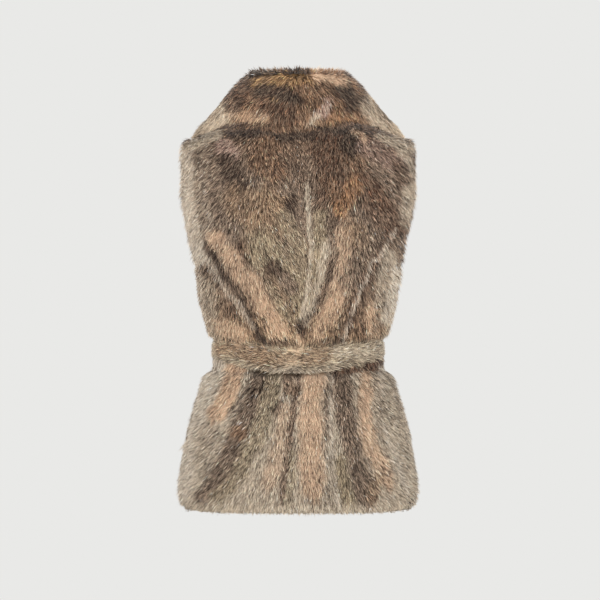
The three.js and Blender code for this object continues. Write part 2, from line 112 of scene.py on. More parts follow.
@dataclass(frozen=True)
class Lean:
    """Which way the pile is brushed near a point of X and Z."""

    x: float
    z: float
    degrees: float  # from straight down towards +X


def to_linear(colour: tuple[float, ...]) -> Array:
    """Turns a colour of 0 to 255 into linear light.

    Args:
        colour: Red, green and blue as a screen shows them.

    Returns:
        The three linear values.
    """
    share = np.array(colour, float) / 255
    return np.where(share <= 0.04045, share / 12.92, ((share + 0.055) / 1.055) ** 2.4)


def smooth(value: Array | float, low: float, high: float) -> Array:
    """A smooth step from 0 at low to 1 at high."""
    t = np.clip((value - low) / (high - low), 0, 1)
    return t * t * (3 - 2 * t)


def lerp(first: Array | float, second: Array | float, share: Array | float) -> Array:
    """The value a share of the way from the first to the second."""
    return first + (second - first) * share


def unit(vectors: Array) -> Array:
    """The vectors with a length of 1."""
    return vectors / np.maximum(np.linalg.norm(vectors, axis=-1, keepdims=True), 1e-9)


def onto_surface(direction: Array, normal: Array) -> Array:
    """The part of each direction that runs along the surface, with a length of 1."""
    return unit(direction - normal * np.sum(direction * normal, axis=-1, keepdims=True))


@dataclass(frozen=True)
class Profile:
    """A smooth curve through pairs of a key and a value, which never overshoots them."""

    pairs: tuple[tuple[float, float], ...]

    def at(self, key: Array | float) -> Array:
        """The curve's value.

        Args:
            key: Where to read it; outside the pairs it stays at the end value.

        Returns:
            The value at each key.
        """
        keys, values = np.array(self.pairs, float).T
        slopes = np.diff(values) / np.diff(keys)
        before, after = slopes[:-1], slopes[1:]
        tangents = np.zeros_like(values)
        bends = before * after > 0
        tangents[1:-1][bends] = (2 * before * after)[bends] / (before + after)[bends]
        held = np.clip(np.asarray(key, float), keys[0], keys[-1])
        k = np.clip(np.searchsorted(keys, held, side="right") - 1, 0, len(keys) - 2)
        span = keys[k + 1] - keys[k]
        t = (held - keys[k]) / span
        ends = values[k] * (1 + 2 * t) * (1 - t) ** 2 + values[k + 1] * t * t * (3 - 2 * t)
        return ends + span * (tangents[k] * t * (1 - t) ** 2 - tangents[k + 1] * t * t * (1 - t))


def profiles(*rows: tuple[float, ...]) -> list[Profile]:
    """One curve for each column of a table after the first, which holds their common keys."""
    keys, *columns = zip(*rows)
    return [Profile(tuple(zip(keys, column))) for column in columns]


@dataclass(frozen=True)
class SoftNoise:
    """A smooth random field with one value to a cell, the same at each run."""

    cell: float
    seed: int
    lattice: int = 32

    def at(self, points: Array) -> Array:
        """The field's value.

        Args:
            points: An array of points in millimetres, with X, Y and Z last.

        Returns:
            A value from -1 to 1 for each point.
        """
        table = np.random.default_rng(self.seed).uniform(-1, 1, (self.lattice,) * 3)
        place = points / self.cell
        whole = np.floor(place).astype(int)
        part = place - whole
        part = part * part * (3 - 2 * part)
        total = np.zeros(points.shape[:-1])
        for corner in range(8):
            step = np.array([corner & 1, corner >> 1 & 1, corner >> 2 & 1])
            weight = np.prod(np.where(step == 1, part, 1 - part), axis=-1)
            index = (whole + step) % self.lattice
            total += weight * table[index[..., 0], index[..., 1], index[..., 2]]
        return total


# The stripes' places are those seen square on from here, on a sheet through the origin
VIEW_CENTRE = np.array([3.0, 0.0, -279.0])
VIEW_DISTANCE = 5000.0

RIGHT_FOLD = ((153, -170), (133, -202), (113, -226), (96, -267), (81, -310), (68, -347))

BACK_STRIPES = stripes(
    (Dye.PALE, 14, 0.82, (-172, -46), (-177, -90), (-170, -140), (-163, -180), (-155, -220)),
    (Dye.GREIGE, 16, 0.4, (-147, -46), (-152, -93), (-147, -140), (-144, -183)),
    (Dye.GREIGE, 12, 0.8, (164, -46), (172, -78), (172, -118), (164, -158)),
    (Dye.GREIGE, 10, 1, (-176, -40), (-122, -23)),
    (Dye.GREIGE, 10, 0.95, (126, -25), (178, -42)),
    # Painted shadow: a dark line on the back under the collar's free edge
    (Dye.CHARCOAL, 9, 1, (34, -15), (62, -15), (88, -14)),
    (Dye.CHARCOAL, 9, 0.9, (-102, -22), (-56, -22), (-9, -25), (31, -25)),
    (Dye.UMBER, 9, 0.65, (31, -25), (78, -22), (115, -22)),
    (Dye.CHESTNUT, 25, 0.8, (-46, -43), (-56, -62), (-34, -78)),
    (Dye.MAUVE, 17, 1, (-114, -46), (-104, -52)),
    (Dye.CHARCOAL, 18, 0.85, (-112, -65), (-102, -79), (-94, -102), (-104, -87)),
    (Dye.STONE, 19, 0.5, (-140, -62), (-130, -108), (-118, -133)),
    (Dye.UMBER, 14, 0.3, (-12, -56), (2, -78), (12, -102)),
    (Dye.UMBER, 31, 0.85, (43, -40), (54, -62), (50, -87)),
    (Dye.CHESTNUT, 19, 0.7, (84, -50), (90, -71)),
    (Dye.CHARCOAL, 19, 1, (81, -31), (87, -42)),
    (Dye.MAUVE, 20, 0.7, (106, -40), (126, -50), (150, -64)),
    (Dye.UMBER, 17, 0.8, (102, -87), (118, -112), (136, -133)),
    (Dye.COPPER, 19, 0.95, (84, -100), (74, -118), (68, -136)),
    (Dye.CHESTNUT, 15, 0.8, (50, -99), (56, -118)),
    (Dye.UMBER, 14, 0.65, (158, -72), (164, -93)),
    (Dye.SAND, 28, 0.7, (-96, -124), (-71, -136), (-43, -130)),
    (Dye.SAND, 19, 0.7, (-46, -112), (-34, -124)),
    (Dye.UMBER, 14, 0.85, (-85, -195), (-76, -208)),
    (Dye.SAND, 22, 0.6, (-68, -164), (-34, -164)),
    (Dye.OLIVE, 34, 0.75, (-56, -195), (-25, -242), (-3, -288)),
    (Dye.OLIVE, 16, 0.6, (-22, -149), (-3, -195), (6, -242)),
    (Dye.CHARCOAL, 11, 1, (-9, -122), (-12, -133)),
    (Dye.CHARCOAL, 7, 0.55, (-29, -183), (-26, -189)),
    (Dye.CHARCOAL, 14, 1, (-39, -229), (-31, -234)),
    (Dye.STONE, 14, 0.95, (-22, -245), (-9, -260)),
    (Dye.PEACH, 17, 0.68, (-127, -186), (-93, -226), (-65, -264), (-48, -298), (-28, -335)),
    # Darker along a crease: the fur's darker parting, with painted shade in the trough
    (
        Dye.CHARCOAL, 5, 0.8,
        (-143, -195), (-121, -232), (-96, -260), (-76, -299), (-59, -338), (-43, -349),
    ),
    (Dye.PALE, 5, 0.5, (-147, -211), (-118, -254), (-93, -284), (-71, -322)),
    (Dye.GREIGE, 17, 0.6, (-146, -254), (-140, -294), (-130, -326)),
    (Dye.UMBER, 11, 0.6, (-107, -291), (-101, -301)),
    (Dye.PEACH, 14, 0.76, (-121, -318), (-102, -326), (-90, -338)),
    (Dye.PALE, 8, 0.3, (-158, -220), (-155, -264), (-146, -318)),
    (
        Dye.GREIGE, 4.5, 1,
        (12, -99), (16, -133), (17, -161), (20, -195), (20, -229), (12, -273), (6, -307),
    ),
    (Dye.OLIVE, 12, 0.75, (34, -147), (34, -198), (31, -245)),
    (Dye.GREIGE, 8, 0.9, (43, -192), (37, -232), (25, -279), (11, -313)),
    (Dye.UMBER, 12, 0.6, (40, -108), (37, -133)),
    (Dye.CHARCOAL, 9, 0.9, (3, -319), (6, -329)),
    (Dye.UMBER, 25, 0.6, (115, -124), (130, -146), (146, -164)),
    (Dye.UMBER, 12, 0.2, (56, -149), (56, -164)),
    (Dye.SAND, 19, 0.7, (84, -167), (96, -186)),
    # Darker along a crease: the fur's darker parting, with painted shade in the trough
    (Dye.CHARCOAL, 6, 0.48, (60, -205), (50, -239), (37, -270), (22, -298), (5, -316)),
    (Dye.PEACH, 14, 0.64, (68, -180), (73, -223), (65, -264), (50, -294), (31, -335)),
    (Dye.STONE, 22, 0.6, (108, -192), (99, -220), (84, -251)),
    # Darker along a crease: the fur's darker parting, with painted shade in the trough
    (Dye.UMBER, 10, 0.55, *RIGHT_FOLD),
    (Dye.PALE, 3.5, 0.7, *RIGHT_FOLD),
    # Darker along a crease: the fur's darker parting, with painted shade in the trough
    (Dye.UMBER, 6, 0.55, (-52, -232), (-28, -266), (-6, -302)),
    (Dye.UMBER, 12, 0.35, (84, -308), (96, -319), (102, -341)),
    (Dye.CHARCOAL, 8, 0.3, (78, -298), (62, -326), (51, -350)),
    (Dye.PEACH, 12, 0.7, (118, -288), (112, -313), (115, -335)),
    (Dye.GREIGE, 16, 0.85, (138, -220), (136, -254), (130, -279)),
    (Dye.STONE, 7, 0.4, (143, -232), (127, -279), (118, -326)),
    (Dye.PALE, 14, 0.9, (152, -242), (149, -279), (140, -310)),
    (Dye.PALE, 16, 0.95, (-130, -381), (-146, -418), (-161, -465), (-172, -512), (-177, -574)),
    (Dye.PALE, 12, 0.9, (-112, -384), (-133, -428), (-155, -471)),
    (Dye.PEACH, 17, 1, (-93, -376), (-108, -422), (-127, -456)),
    (Dye.STONE, 14, 0.15, (-130, -456), (-143, -490), (-152, -524)),
    # Darker along a crease: the fur's darker parting, with painted shade in the trough
    (Dye.CHARCOAL, 5, 0.5, (-62, -384), (-79, -417), (-108, -456)),
    (
        Dye.STONE, 19, 1,
        (-53, -400), (-74, -446), (-90, -480), (-105, -521), (-127, -558), (-143, -583),
    ),
    (Dye.COPPER, 12, 0.6, (-96, -480), (-88, -487)),
    (Dye.OLIVE, 16, 0.8, (-37, -394), (-50, -453), (-68, -502), (-96, -549), (-124, -589)),
    (Dye.CHESTNUT, 13, 0.6, (-16, -394), (-12, -418)),
    (Dye.UMBER, 8, 0.5, (-29, -440), (-34, -453)),
    (Dye.PEACH, 16, 0.52, (-19, -453), (-28, -496), (-34, -533), (-46, -567)),
    # Darker along a crease: the fur's darker parting, with painted shade in the trough
    (Dye.UMBER, 6, 0.62, (3, -391), (-5, -434), (-11, -480), (-14, -515), (-22, -555), (-26, -589)),
    (Dye.OLIVE, 7, 0.6, (-9, -515), (-11, -555), (-17, -598)),
    (Dye.PEACH, 22, 0.9, (25, -394), (20, -450), (19, -496), (22, -574)),
    (Dye.UMBER, 5, 0.4, (50, -403), (45, -437), (43, -496)),
    (Dye.PALE, 4, 0.85, (56, -391), (50, -440), (51, -490), (56, -530), (62, -570), (64, -601)),
    (Dye.STONE, 18, 1, (68, -406), (71, -456), (82, -505), (94, -542), (104, -589)),
    (Dye.OLIVE, 12, 1, (65, -530), (71, -564), (81, -595)),
    # Darker just under the belt: the fur's own brown, with painted shadow from the belt
    (Dye.UMBER, 14, 1, (62, -386), (80, -380), (118, -376)),
    (Dye.PEACH, 14, 0.85, (105, -400), (102, -440), (108, -496), (127, -536), (140, -564)),
    (Dye.SAND, 12, 0.7, (121, -558), (115, -583)),
    # Darker along a crease: the fur's darker parting, with painted shade in the trough
    (
        Dye.UMBER, 5, 0.15,
        (122, -397), (129, -440), (129, -480), (135, -508), (143, -539), (143, -574),
    ),
    (Dye.PALE, 4, 0.8, (127, -381), (130, -425)),
    (Dye.GREIGE, 22, 0.7, (146, -422), (155, -480), (170, -558)),
    (Dye.PALE, 5, 0.9, (133, -471), (149, -524), (170, -574)),
    # Darker along a crease: the fur's darker parting, with painted shade in the trough
    (Dye.UMBER, 5, 0.15, (139, -393), (147, -415), (158, -450)),
    (Dye.GREIGE, 9, 0.6, (-177, -598), (-90, -601), (3, -601), (96, -601), (177, -595)),
    (Dye.PEACH, 6, 0.8, (84, -16), (96, -21), (102, -30)),
    (Dye.GREIGE, 9, 0.4, (140, -308), (133, -344)),
    (Dye.GREIGE, 9, 0.5, (-146, -316), (-136, -344)),
    # Painted shade: dark gaps under the bodice where it hangs over the belt
    (Dye.CHARCOAL, 6, 0.65, (-64, -334), (-46, -343), (-20, -345)),
    (Dye.CHARCOAL, 6, 0.35, (26, -341), (48, -346), (66, -344)),
    (Dye.PEACH, 6, 0.6, (-1, -339), (4, -348)),
)

COLLAR_STRIPES = stripes(
    (Dye.GREIGE, 18, 0.85, (-150, -18), (-128, 4), (-104, 22)),
    (Dye.GREIGE, 20, 0.8, (152, -22), (128, 0), (108, 28)),
    (Dye.UMBER, 15, 0.8, (-74, 58), (-86, 40), (-98, 26)),
    (Dye.UMBER, 17, 0.85, (-50, 22), (-14, 14)),
    (Dye.STONE, 12, 0.8, (-76, 76), (-56, 84)),
    (Dye.OCHRE, 14, 0.75, (-60, 62), (-34, 64), (-3, 66), (14, 63)),
    (Dye.SAND, 8, 0.7, (-56, 82), (-26, 87)),
    (Dye.UMBER, 8, 0.6, (-22, 89), (12, 90)),
    (Dye.CHARCOAL, 16, 1, (-50, 46), (-32, 40)),
    (Dye.CHARCOAL, 15, 1, (-22, 42), (-6, 34)),
    (Dye.CHARCOAL, 16, 1, (66, 43), (78, 36), (86, 28)),
    (Dye.PEACH, 15, 1, (32, 74), (50, 69), (64, 64)),
    (Dye.PEACH, 9, 0.9, (30, 83), (56, 79)),
    (Dye.OCHRE, 5, 0.35, (-44, 34), (-34, 34)),
    (Dye.CHESTNUT, 12, 1, (12, 46), (28, 34)),
    (Dye.COPPER, 9, 0.75, (52, 6), (84, 2)),
    (Dye.PEACH, 11, 0.5, (-52, 4), (-80, 6), (-104, 7)),
    (Dye.GREIGE, 10, 0.25, (-108, 4), (-121, 4), (-143, -8)),
    (Dye.UMBER, 7, 0.6, (-36, 0), (-4, 0)),
    (Dye.MAUVE, 8, 1, (44, 32), (44, 20), (30, 8)),
    (Dye.GREIGE, 5, 0.8, (30, 8), (22, 2), (16, -8)),
    # Painted shadow: a dark line along the collar's lower edge
    (Dye.CHARCOAL, 6, 0.7, (-110, -12), (-71, -9), (-31, -8), (6, -12)),
    (Dye.CHARCOAL, 8, 1, (34, -13), (62, -13), (88, -11)),
)

BELT_STRIPES = stripes(
    (Dye.OLIVE, 30, 0.6, (-133, -360), (133, -360)),
    (Dye.SAND, 14, 0.9, (-118, -354), (-87, -356), (-56, -365)),
    (Dye.OLIVE, 6, 0.6, (-133, -341), (-112, -344)),
    (Dye.SAND, 17, 0.7, (-40, -369), (3, -363), (37, -366)),
    (Dye.GREIGE, 11, 0.5, (59, -360), (99, -363), (133, -356)),
) + stripes(
    (Dye.CREAM, 13, 1, (-2, -348), (8, -350)),
    (Dye.CREAM, 9, 0.35, (-16, -374), (0, -374)),
    back_only=True,
)


# The body's sizes
SEAM_GAP = 0.3
PILE_WALL = 16.0
PRESSED_WALL = 8.0
HEM_Z = -601.0
UNDERARM_Z = -225.0
YOKE_Z = -110.0
ROUNDING = 0.87
YOKE_ROUNDING = 0.8
YOKE_TURN = {Side.BACK: (60.0, 86.0), Side.FRONT: (84.0, 84.0)}  # degrees, middle and beside it
SHOULDER_NECK = np.array([68.0, -6.0, 4.0])
SHOULDER_TIP = np.array([168.0, -6.0, -42.0])
SHOULDER_FULLNESS = 4.0
BACK_NECK_Y = -60.0
BACK_NECK_Z = 5.0
NECK_SHARE = 1 / 3  # of the back's top edge
SHOULDER_REACH = 0.82  # of the shoulder seam, where the collar's free edge crosses it
UP = np.array([0.0, 0.0, 1.0])

# The belt's sizes
BELT_Z = -358.0
SQUEEZE = 22.0
SQUEEZE_FADE = 8.0
BACK_SAG = 12.0
SAG_SPREAD = 60.0
SAG_HALF_WIDTH = 125.0

# The collar's cover: the slant of its edge over the shoulder, and where it starts to press the pile
COVER_SLANT = 1.5
COVER_FADE = (-0.2, -0.07)

# The inner face of the cloth: height, half width at the side, depth of the back and of the front
SIDE_WIDTH, BACK_DEPTH, FRONT_DEPTH = profiles(
    (-601, 168, 119, 117), (-560, 168, 118, 116), (-500, 162, 114, 112), (-450, 148, 106, 106),
    (-416, 137, 99, 101), (-400, 131, 95, 98), (-388, 125, 90, 93), (-380, 114, 78, 85),
    (-336, 114, 79, 86), (-328, 127, 93, 98), (-317, 130, 97, 102), (-288, 137, 102, 107),
    (-262, 141, 104, 111), (-225, 144, 107, 117), (-182, 155, 110, 119), (-134, 163, 109, 113),
    (-110, 166, 106, 107),
)
FRONT_EDGE_X = Profile((
    (-601, 12), (-500, 8), (-398, 5), (-337, 6), (-318, 12), (-262, 20), (-182, 32), (-110, 43),
))

# The armhole: height, then X and Y of the back's edge and of the front's
BACK_ARMHOLE_X, BACK_ARMHOLE_Y, FRONT_ARMHOLE_X, FRONT_ARMHOLE_Y = profiles(
    (-225, 144, 0, 144, 0), (-216, 147, -16, 144, 18), (-204, 150, -25, 145, 29),
    (-182, 155, -33, 145, 39), (-158, 160, -37, 145, 45), (-134, 163, -38, 146, 48),
    (-110, 166, -36, 148, 46),
)

# How much of the pile's loft stands off the sides by height
SIDE_LOFT = Profile((
    (-601, 1), (-560, 0.9), (-530, 0.6), (-500, 0.5), (-470, 0.6), (-430, 0.9), (-345, 1),
    (-335, 0.25), (-320, 0.6), (-300, 0.7), (-270, 0.9), (-230, 0.85), (-190, 0.75),
    (-165, 0.4), (-140, 0.5), (-115, 0.95),
))

# The collar's reach: over the back by share, then over the front and its stand there by height
BACK_FALL = Profile(((0, 1.82), (0.2, 1.76), (0.34, 1.74), (0.48, 1.81), (0.66, 1.91), (0.88, 2)))
LAPEL_REACH, LAPEL_STAND = profiles(
    (-328, 0.1, 2), (-302, 0.2, 4), (-262, 0.34, 6), (-225, 0.44, 8), (-182, 0.53, 10),
    (-134, 0.61, 14), (-110, 0.65, 18),
)
LAPEL_BOTTOM_Z = -330.0
LAPEL_END_Z = -328.0

BACK_CREASES = (
    Crease((-62, -388), (-112, -470), 6, 10),
    Crease((-2, -388), (-22, -601), 4, 10),
    Crease((51, -388), (61, -601), 6, 10),
    Crease((122, -384), (155, -560), 4, 9),
    Crease((140, -384), (165, -475), 4, 7),
    Crease((-112, -384), (-160, -490), 5, 9),
    Crease((-38, -388), (-58, -590), 3, 9),
    Crease((92, -388), (108, -560), 3, 9),
    Crease((-141, -200), (-60, -334), 6, 10),
    Crease((-46, -220), (-2, -334), 4, 9),
    Crease((56, -170), (9, -334), 4, 9),
    Crease((152, -183), (70, -334), 6, 10),
    Crease((141, -262), (112, -334), 5, 8),
    Crease((-130, -290), (-98, -334), 4, 8),
    Crease((36, -285), (34, -334), 3, 8),
)
FRONT_CREASES = (
    Crease((-30, -388), (-46, -590), 5, 10),
    Crease((34, -388), (44, -601), 5, 10),
    Crease((-66, -388), (-92, -560), 6, 10),
    Crease((72, -388), (104, -580), 6, 10),
    Crease((-104, -386), (-140, -500), 5, 9),
    Crease((108, -386), (150, -540), 5, 9),
    Crease((-132, -235), (-82, -334), 5, 10),
    Crease((130, -245), (78, -334), 5, 10),
    Crease((-104, -262), (-50, -334), 4, 9),
    Crease((100, -255), (46, -334), 4, 9),
)
DEEPEST_CREASE = 8.0
CREASE_INSIDE = 0.6  # of a crease's depth, on the inner face


def height_of(rise: Array) -> Array:
    """The height of a place by its rise, up to the yoke and before the waist's sag."""
    return lerp(HEM_Z, YOKE_Z, np.minimum(rise, 1))


def rise_of(z: Array) -> Array:
    """The rise of a place by its height, up to the yoke."""
    return (z - HEM_Z) / (YOKE_Z - HEM_Z)


@dataclass(frozen=True)
class BodyForm:
    """The curved wall of one body panel, in the +X half; the other half is its mirror image."""

    side: Side
    hand: int

    def sag(self, x: Array, z: Array) -> Array:
        """How much lower the waist lies, most at the middle of the back.

        Args:
            x: Places across.
            z: Heights.

        Returns:
            The drop at each place.
        """
        if self.side is Side.FRONT:
            return np.zeros_like(x)
        across = np.cos(np.minimum(1, np.abs(x) / SAG_HALF_WIDTH) * np.pi / 2) ** 2
        return BACK_SAG * across * np.exp(-(((z - BELT_Z) / SAG_SPREAD) ** 2))

    def ring(self, share: Array, z: Array) -> Array:
        """Points of the cloth's inner face on level rings.

        Args:
            share: The way from the middle edge to the side.
            z: The height of the ring, before the waist's sag.

        Returns:
            The points.
        """
        back = self.side is Side.BACK
        depth = self.side.value * (BACK_DEPTH if back else FRONT_DEPTH).at(z)
        middle = SEAM_GAP / 2 if back else FRONT_EDGE_X.at(z)
        edge_x = (BACK_ARMHOLE_X if back else FRONT_ARMHOLE_X).at(z)
        edge_y = (BACK_ARMHOLE_Y if back else FRONT_ARMHOLE_Y).at(z)
        side_x = np.where(z > UNDERARM_Z, edge_x, SIDE_WIDTH.at(z))
        side_y = self.side.value * SEAM_GAP / 2 + np.where(z > UNDERARM_Z, edge_y, 0)
        turn = share * np.pi / 2
        x = middle + (side_x - middle) * np.sin(turn) ** ROUNDING
        y = side_y + (depth - side_y) * np.maximum(0, np.cos(turn)) ** ROUNDING
        return np.stack([x, y, z - self.sag(x, z)], axis=-1)

    def top(self, share: Array) -> Array:
        """Points of the top edge: the back neckline, then the shoulder seam.

        Args:
            share: The way from the middle edge to the side.

        Returns:
            The points.
        """
        neck = NECK_SHARE if self.side is Side.BACK else 0.0
        along = np.clip((share - neck) / (1 - neck), 0, 1)
        seam = SHOULDER_NECK + (SHOULDER_TIP - SHOULDER_NECK) * along[..., None]
        seam[..., 1] += self.side.value * SEAM_GAP / 2
        if not neck:
            return seam
        round_neck = np.clip(share / neck, 0, 1)
        turn = round_neck * np.pi / 2
        x = SEAM_GAP / 2 + (SHOULDER_NECK[0] - SEAM_GAP / 2) * np.sin(turn)
        y = SHOULDER_NECK[1] + (BACK_NECK_Y - SHOULDER_NECK[1]) * np.cos(turn) - SEAM_GAP / 2
        neckline = np.stack([x, y, lerp(BACK_NECK_Z, SHOULDER_NECK[2], round_neck)], axis=-1)
        return np.where((share < neck)[..., None], neckline, seam)

    def face(self, share: Array, rise: Array) -> Array:
        """Points of the inner face.

        Args:
            share: The way from the middle edge to the side.
            rise: The way up, from 0 at the hem over 1 at the yoke to 2 at the top edge.

        Returns:
            The points.
        """
        body = self.ring(share, height_of(rise))
        high = self.top(share)
        over = np.clip(rise - 1, 0, 1)
        end = np.radians(lerp(*YOKE_TURN[self.side], smooth(share, 0, 0.35)))
        turn = over * end
        square = lerp(1, YOKE_ROUNDING, smooth(share, 0, 0.3))
        along = (np.sin(turn) / np.sin(end)) ** square
        across = (np.cos(turn) ** square - np.cos(end) ** square) / (1 - np.cos(end) ** square)
        fuller = np.sin(over * np.pi) * SHOULDER_FULLNESS * share
        x = lerp(body[..., 0], high[..., 0], over) + fuller
        y = lerp(high[..., 1], body[..., 1], across)
        z = lerp(body[..., 2], high[..., 2], along)
        return np.where((rise > 1)[..., None], np.stack([x, y, z], axis=-1), body)

    def normal(self, share: Array, rise: Array) -> Array:
        """The directions in which the wall stands off the inner face: level up to the yoke.

        Args:
            share: The way from the middle edge to the side.
            rise: The way up.

        Returns:
            The directions.
        """
        step = 0.01
        left, right = np.maximum(0, share - step), np.minimum(1, share + step)
        below, above = np.maximum(0, rise - step), np.minimum(2, rise + step)
        across = self.face(right, rise) - self.face(left, rise)
        upwards = self.face(share, above) - self.face(share, below)
        normal = unit(np.cross(across, upwards) * -self.side.value)
        normal[..., 2] = np.maximum(0, normal[..., 2]) * smooth(rise, 1, 1.35)
        if self.side is Side.BACK:
            normal[..., 0] *= smooth(share, -1e-6, step)
        closed = (share > 0.999) & (height_of(rise) < UNDERARM_Z + 1)
        normal[..., 1] = np.where(closed, 0, normal[..., 1])
        return unit(normal)

    def crease(self, x: Array, z: Array) -> Array:
        """How far the creases draw the wall in.

        Args:
            x: Half-panel positions, positive on either hand.
            z: Heights.

        Returns:
            The depths.
        """
        depth = np.zeros_like(x)
        for crease in BACK_CREASES if self.side is Side.BACK else FRONT_CREASES:
            start, step = np.array(crease.top), np.subtract(crease.low, crease.top)
            dx, dz = self.hand * x - start[0], z - start[1]
            along = np.clip((dx * step[0] + dz * step[1]) / np.dot(step, step), 0, 1)
            away = np.hypot(dx - along * step[0], dz - along * step[1])
            depth += crease.depth * np.exp(-((away / crease.half_width) ** 2))
        return np.minimum(depth, DEEPEST_CREASE)

    def covered(self, share: Array, rise: Array) -> Array:
        """How much the collar covers each point.

        Args:
            share: The way from the middle edge to the side.
            rise: The way up.

        Returns:
            The way in from the collar's free edge, negative outside it.
        """
        if self.side is Side.BACK:
            reach = lerp(NECK_SHARE, 1, SHOULDER_REACH)
            beyond = 2 + (share - reach) * COVER_SLANT / (1 - NECK_SHARE)
            return (rise - np.where(share > reach, beyond, BACK_FALL.at(share))) / COVER_SLANT
        z = height_of(rise)
        reach = lerp(LAPEL_REACH.at(z), SHOULDER_REACH, np.maximum(0, rise - 1))
        return np.where(z > LAPEL_BOTTOM_Z, reach - share, -1)

    def belted(self, rise: Array) -> Array:
        """How much the belt presses the pile: 1 under it and 0 away from it."""
        away = np.abs(height_of(rise) - BELT_Z)
        return 1 - smooth(away, SQUEEZE, SQUEEZE + SQUEEZE_FADE)

    def wall(self, share: Array, rise: Array) -> Array:
        """The wall's thickness with its pile: pressed under the belt and under the collar."""
        pressed = np.maximum(self.belted(rise), smooth(self.covered(share, rise), *COVER_FADE))
        return lerp(PILE_WALL, PRESSED_WALL, pressed)

    def point(self, share: Array, rise: Array, layer: float) -> Array:
        """Points of the wall.

        Args:
            share: The way from the middle edge to the side.
            rise: The way up.
            layer: 0 for the inner face and 1 for the tips of the pile.

        Returns:
            The points in the +X half.
        """
        face = self.face(share, rise)
        crease = self.crease(face[..., 0], face[..., 2])
        out = layer * self.wall(share, rise) - crease * lerp(CREASE_INSIDE, 1, layer)
        return face + self.normal(share, rise) * out[..., None]


@dataclass
class Places:
    """Places scattered on a surface, and how the surface runs and turns there."""

    points: Array
    normals: Array
    share: Array
    rise: Array
    down: Array  # directions along the grid
    across: Array
    turn_down: Array  # how the normal changes to a millimetre along them
    turn_across: Array

    def curving(self, direction: Array) -> Array:
        """How fast the surface curves away in a direction.

        Args:
            direction: A direction along the surface at each place.

        Returns:
            One over the radius, in millimetres, and positive where the surface bulges.
        """
        ways = (self.down, self.across)
        down, across = (np.sum(direction * way, axis=-1)[:, None] for way in ways)
        change = self.turn_down * down + self.turn_across * across
        return np.clip(np.sum(change * direction, axis=-1), *CURVE_LIMITS)


@dataclass
class Surface:
    """A grid of points with the direction it faces, on which pile can be grown."""

    points: Array
    facing: Array  # a rough direction that says which side is out
    share: Array
    rise: Array
    normals: Array = field(init=False)

    def __post_init__(self) -> None:
        """Works out the normals from the grid."""
        down = np.gradient(self.points, axis=0)
        across = np.gradient(self.points, axis=1)
        normals = unit(np.cross(down, across))
        turned = np.sign(np.sum(normals * self.facing, axis=-1, keepdims=True))
        self.normals = normals * np.where(turned == 0, 1, turned)

    def cell_areas(self) -> Array:
        """The area of each cell of the grid in square millimetres."""
        first = self.points[1:, 1:] - self.points[:-1, :-1]
        second = self.points[1:, :-1] - self.points[:-1, 1:]
        return np.linalg.norm(np.cross(first, second), axis=-1) / 2

    def scatter(self, count: int, density: Array, rng: np.random.Generator) -> Places:
        """Chooses places on the surface, evenly for their density.

        Args:
            count: How many places.
            density: The relative density at each grid point.
            rng: The source of chance.

        Returns:
            The places.
        """
        held = (density[1:, 1:] + density[:-1, :-1] + density[1:, :-1] + density[:-1, 1:]) / 4
        weight = np.cumsum((self.cell_areas() * held).ravel())
        marks = (np.arange(count) + rng.random(count)) / count * weight[-1]
        cell = np.minimum(np.searchsorted(weight, marks), weight.size - 1)
        i, j = np.divmod(cell, self.points.shape[1] - 1)
        u, v = rng.random((2, count))

        def read(values: Array) -> Array:
            """Reads a grid of values at the places.

            Args:
                values: The grid, with one value for each point of the surface.

            Returns:
                A value for each place.
            """
            shape = (-1,) + (1,) * (values.ndim - 2)
            a, b = u.reshape(shape), v.reshape(shape)
            low = values[i, j] * (1 - b) + values[i, j + 1] * b
            return low * (1 - a) + (values[i + 1, j] * (1 - b) + values[i + 1, j + 1] * b) * a

        down, turn_down = self.along((i, j), (i + 1, j))
        across, turn_across = self.along((i, j), (i, j + 1))
        return Places(
            read(self.points), unit(read(self.normals)), read(self.share), read(self.rise),
            down, across, turn_down, turn_across,
        )

    def along(self, start: tuple[Array, Array], end: tuple[Array, Array]) -> tuple[Array, Array]:
        """Compares points of the grid with their neighbours.

        Args:
            start: The rows and columns of the points.
            end: The rows and columns of the neighbours.

        Returns:
            The directions to the neighbours, and how the normal changes to a millimetre.
        """
        step = self.points[end] - self.points[start]
        size = np.maximum(np.linalg.norm(step, axis=-1, keepdims=True), 1e-3)
        return unit(step), (self.normals[end] - self.normals[start]) / size


CURVE_LIMITS = (-0.01, 0.05)  # for each millimetre, so that strands don't curl at a fold
LUMINANCE = np.array([0.21, 0.72, 0.07])  # of linear red, green and blue
MIDDLE = 0.19  # the luminance at which a dye stays as it is
CALM = (0.22, 0.56)  # the luminances from which and at which the pile shades itself least

# The strands shade each other, so single ones are paler and more apart in colour than the pile
PALER = 1.4
DEEPER = 0.31
RICHER = 1.05
LIVELY = Profile(((0.08, 2), (0.24, 1.4), (0.36, 0.85), (0.52, 0.45)))  # variety by luminance

# Where the skirt's pile laps over the belt: how far out on either hand, and how far down
LAP_LEFT = (50, 92)
LAP_RIGHT = (32, 64)
LAP_START = (7, 1)


def lapped(x: Array, under: Array) -> Array:
    """How much of the skirt's pile laps over the belt's lower edge.

    Args:
        x: The place across the vest.
        under: The way down from the middle of the belt.

    Returns:
        From 0, where it keeps under the belt, to 1.
    """
    beside = np.maximum(smooth(-x, *LAP_LEFT), smooth(x, *LAP_RIGHT))
    start = lerp(*LAP_START, smooth(np.abs(x), 70, 130))
    return beside * smooth(under - start, 0, 3)


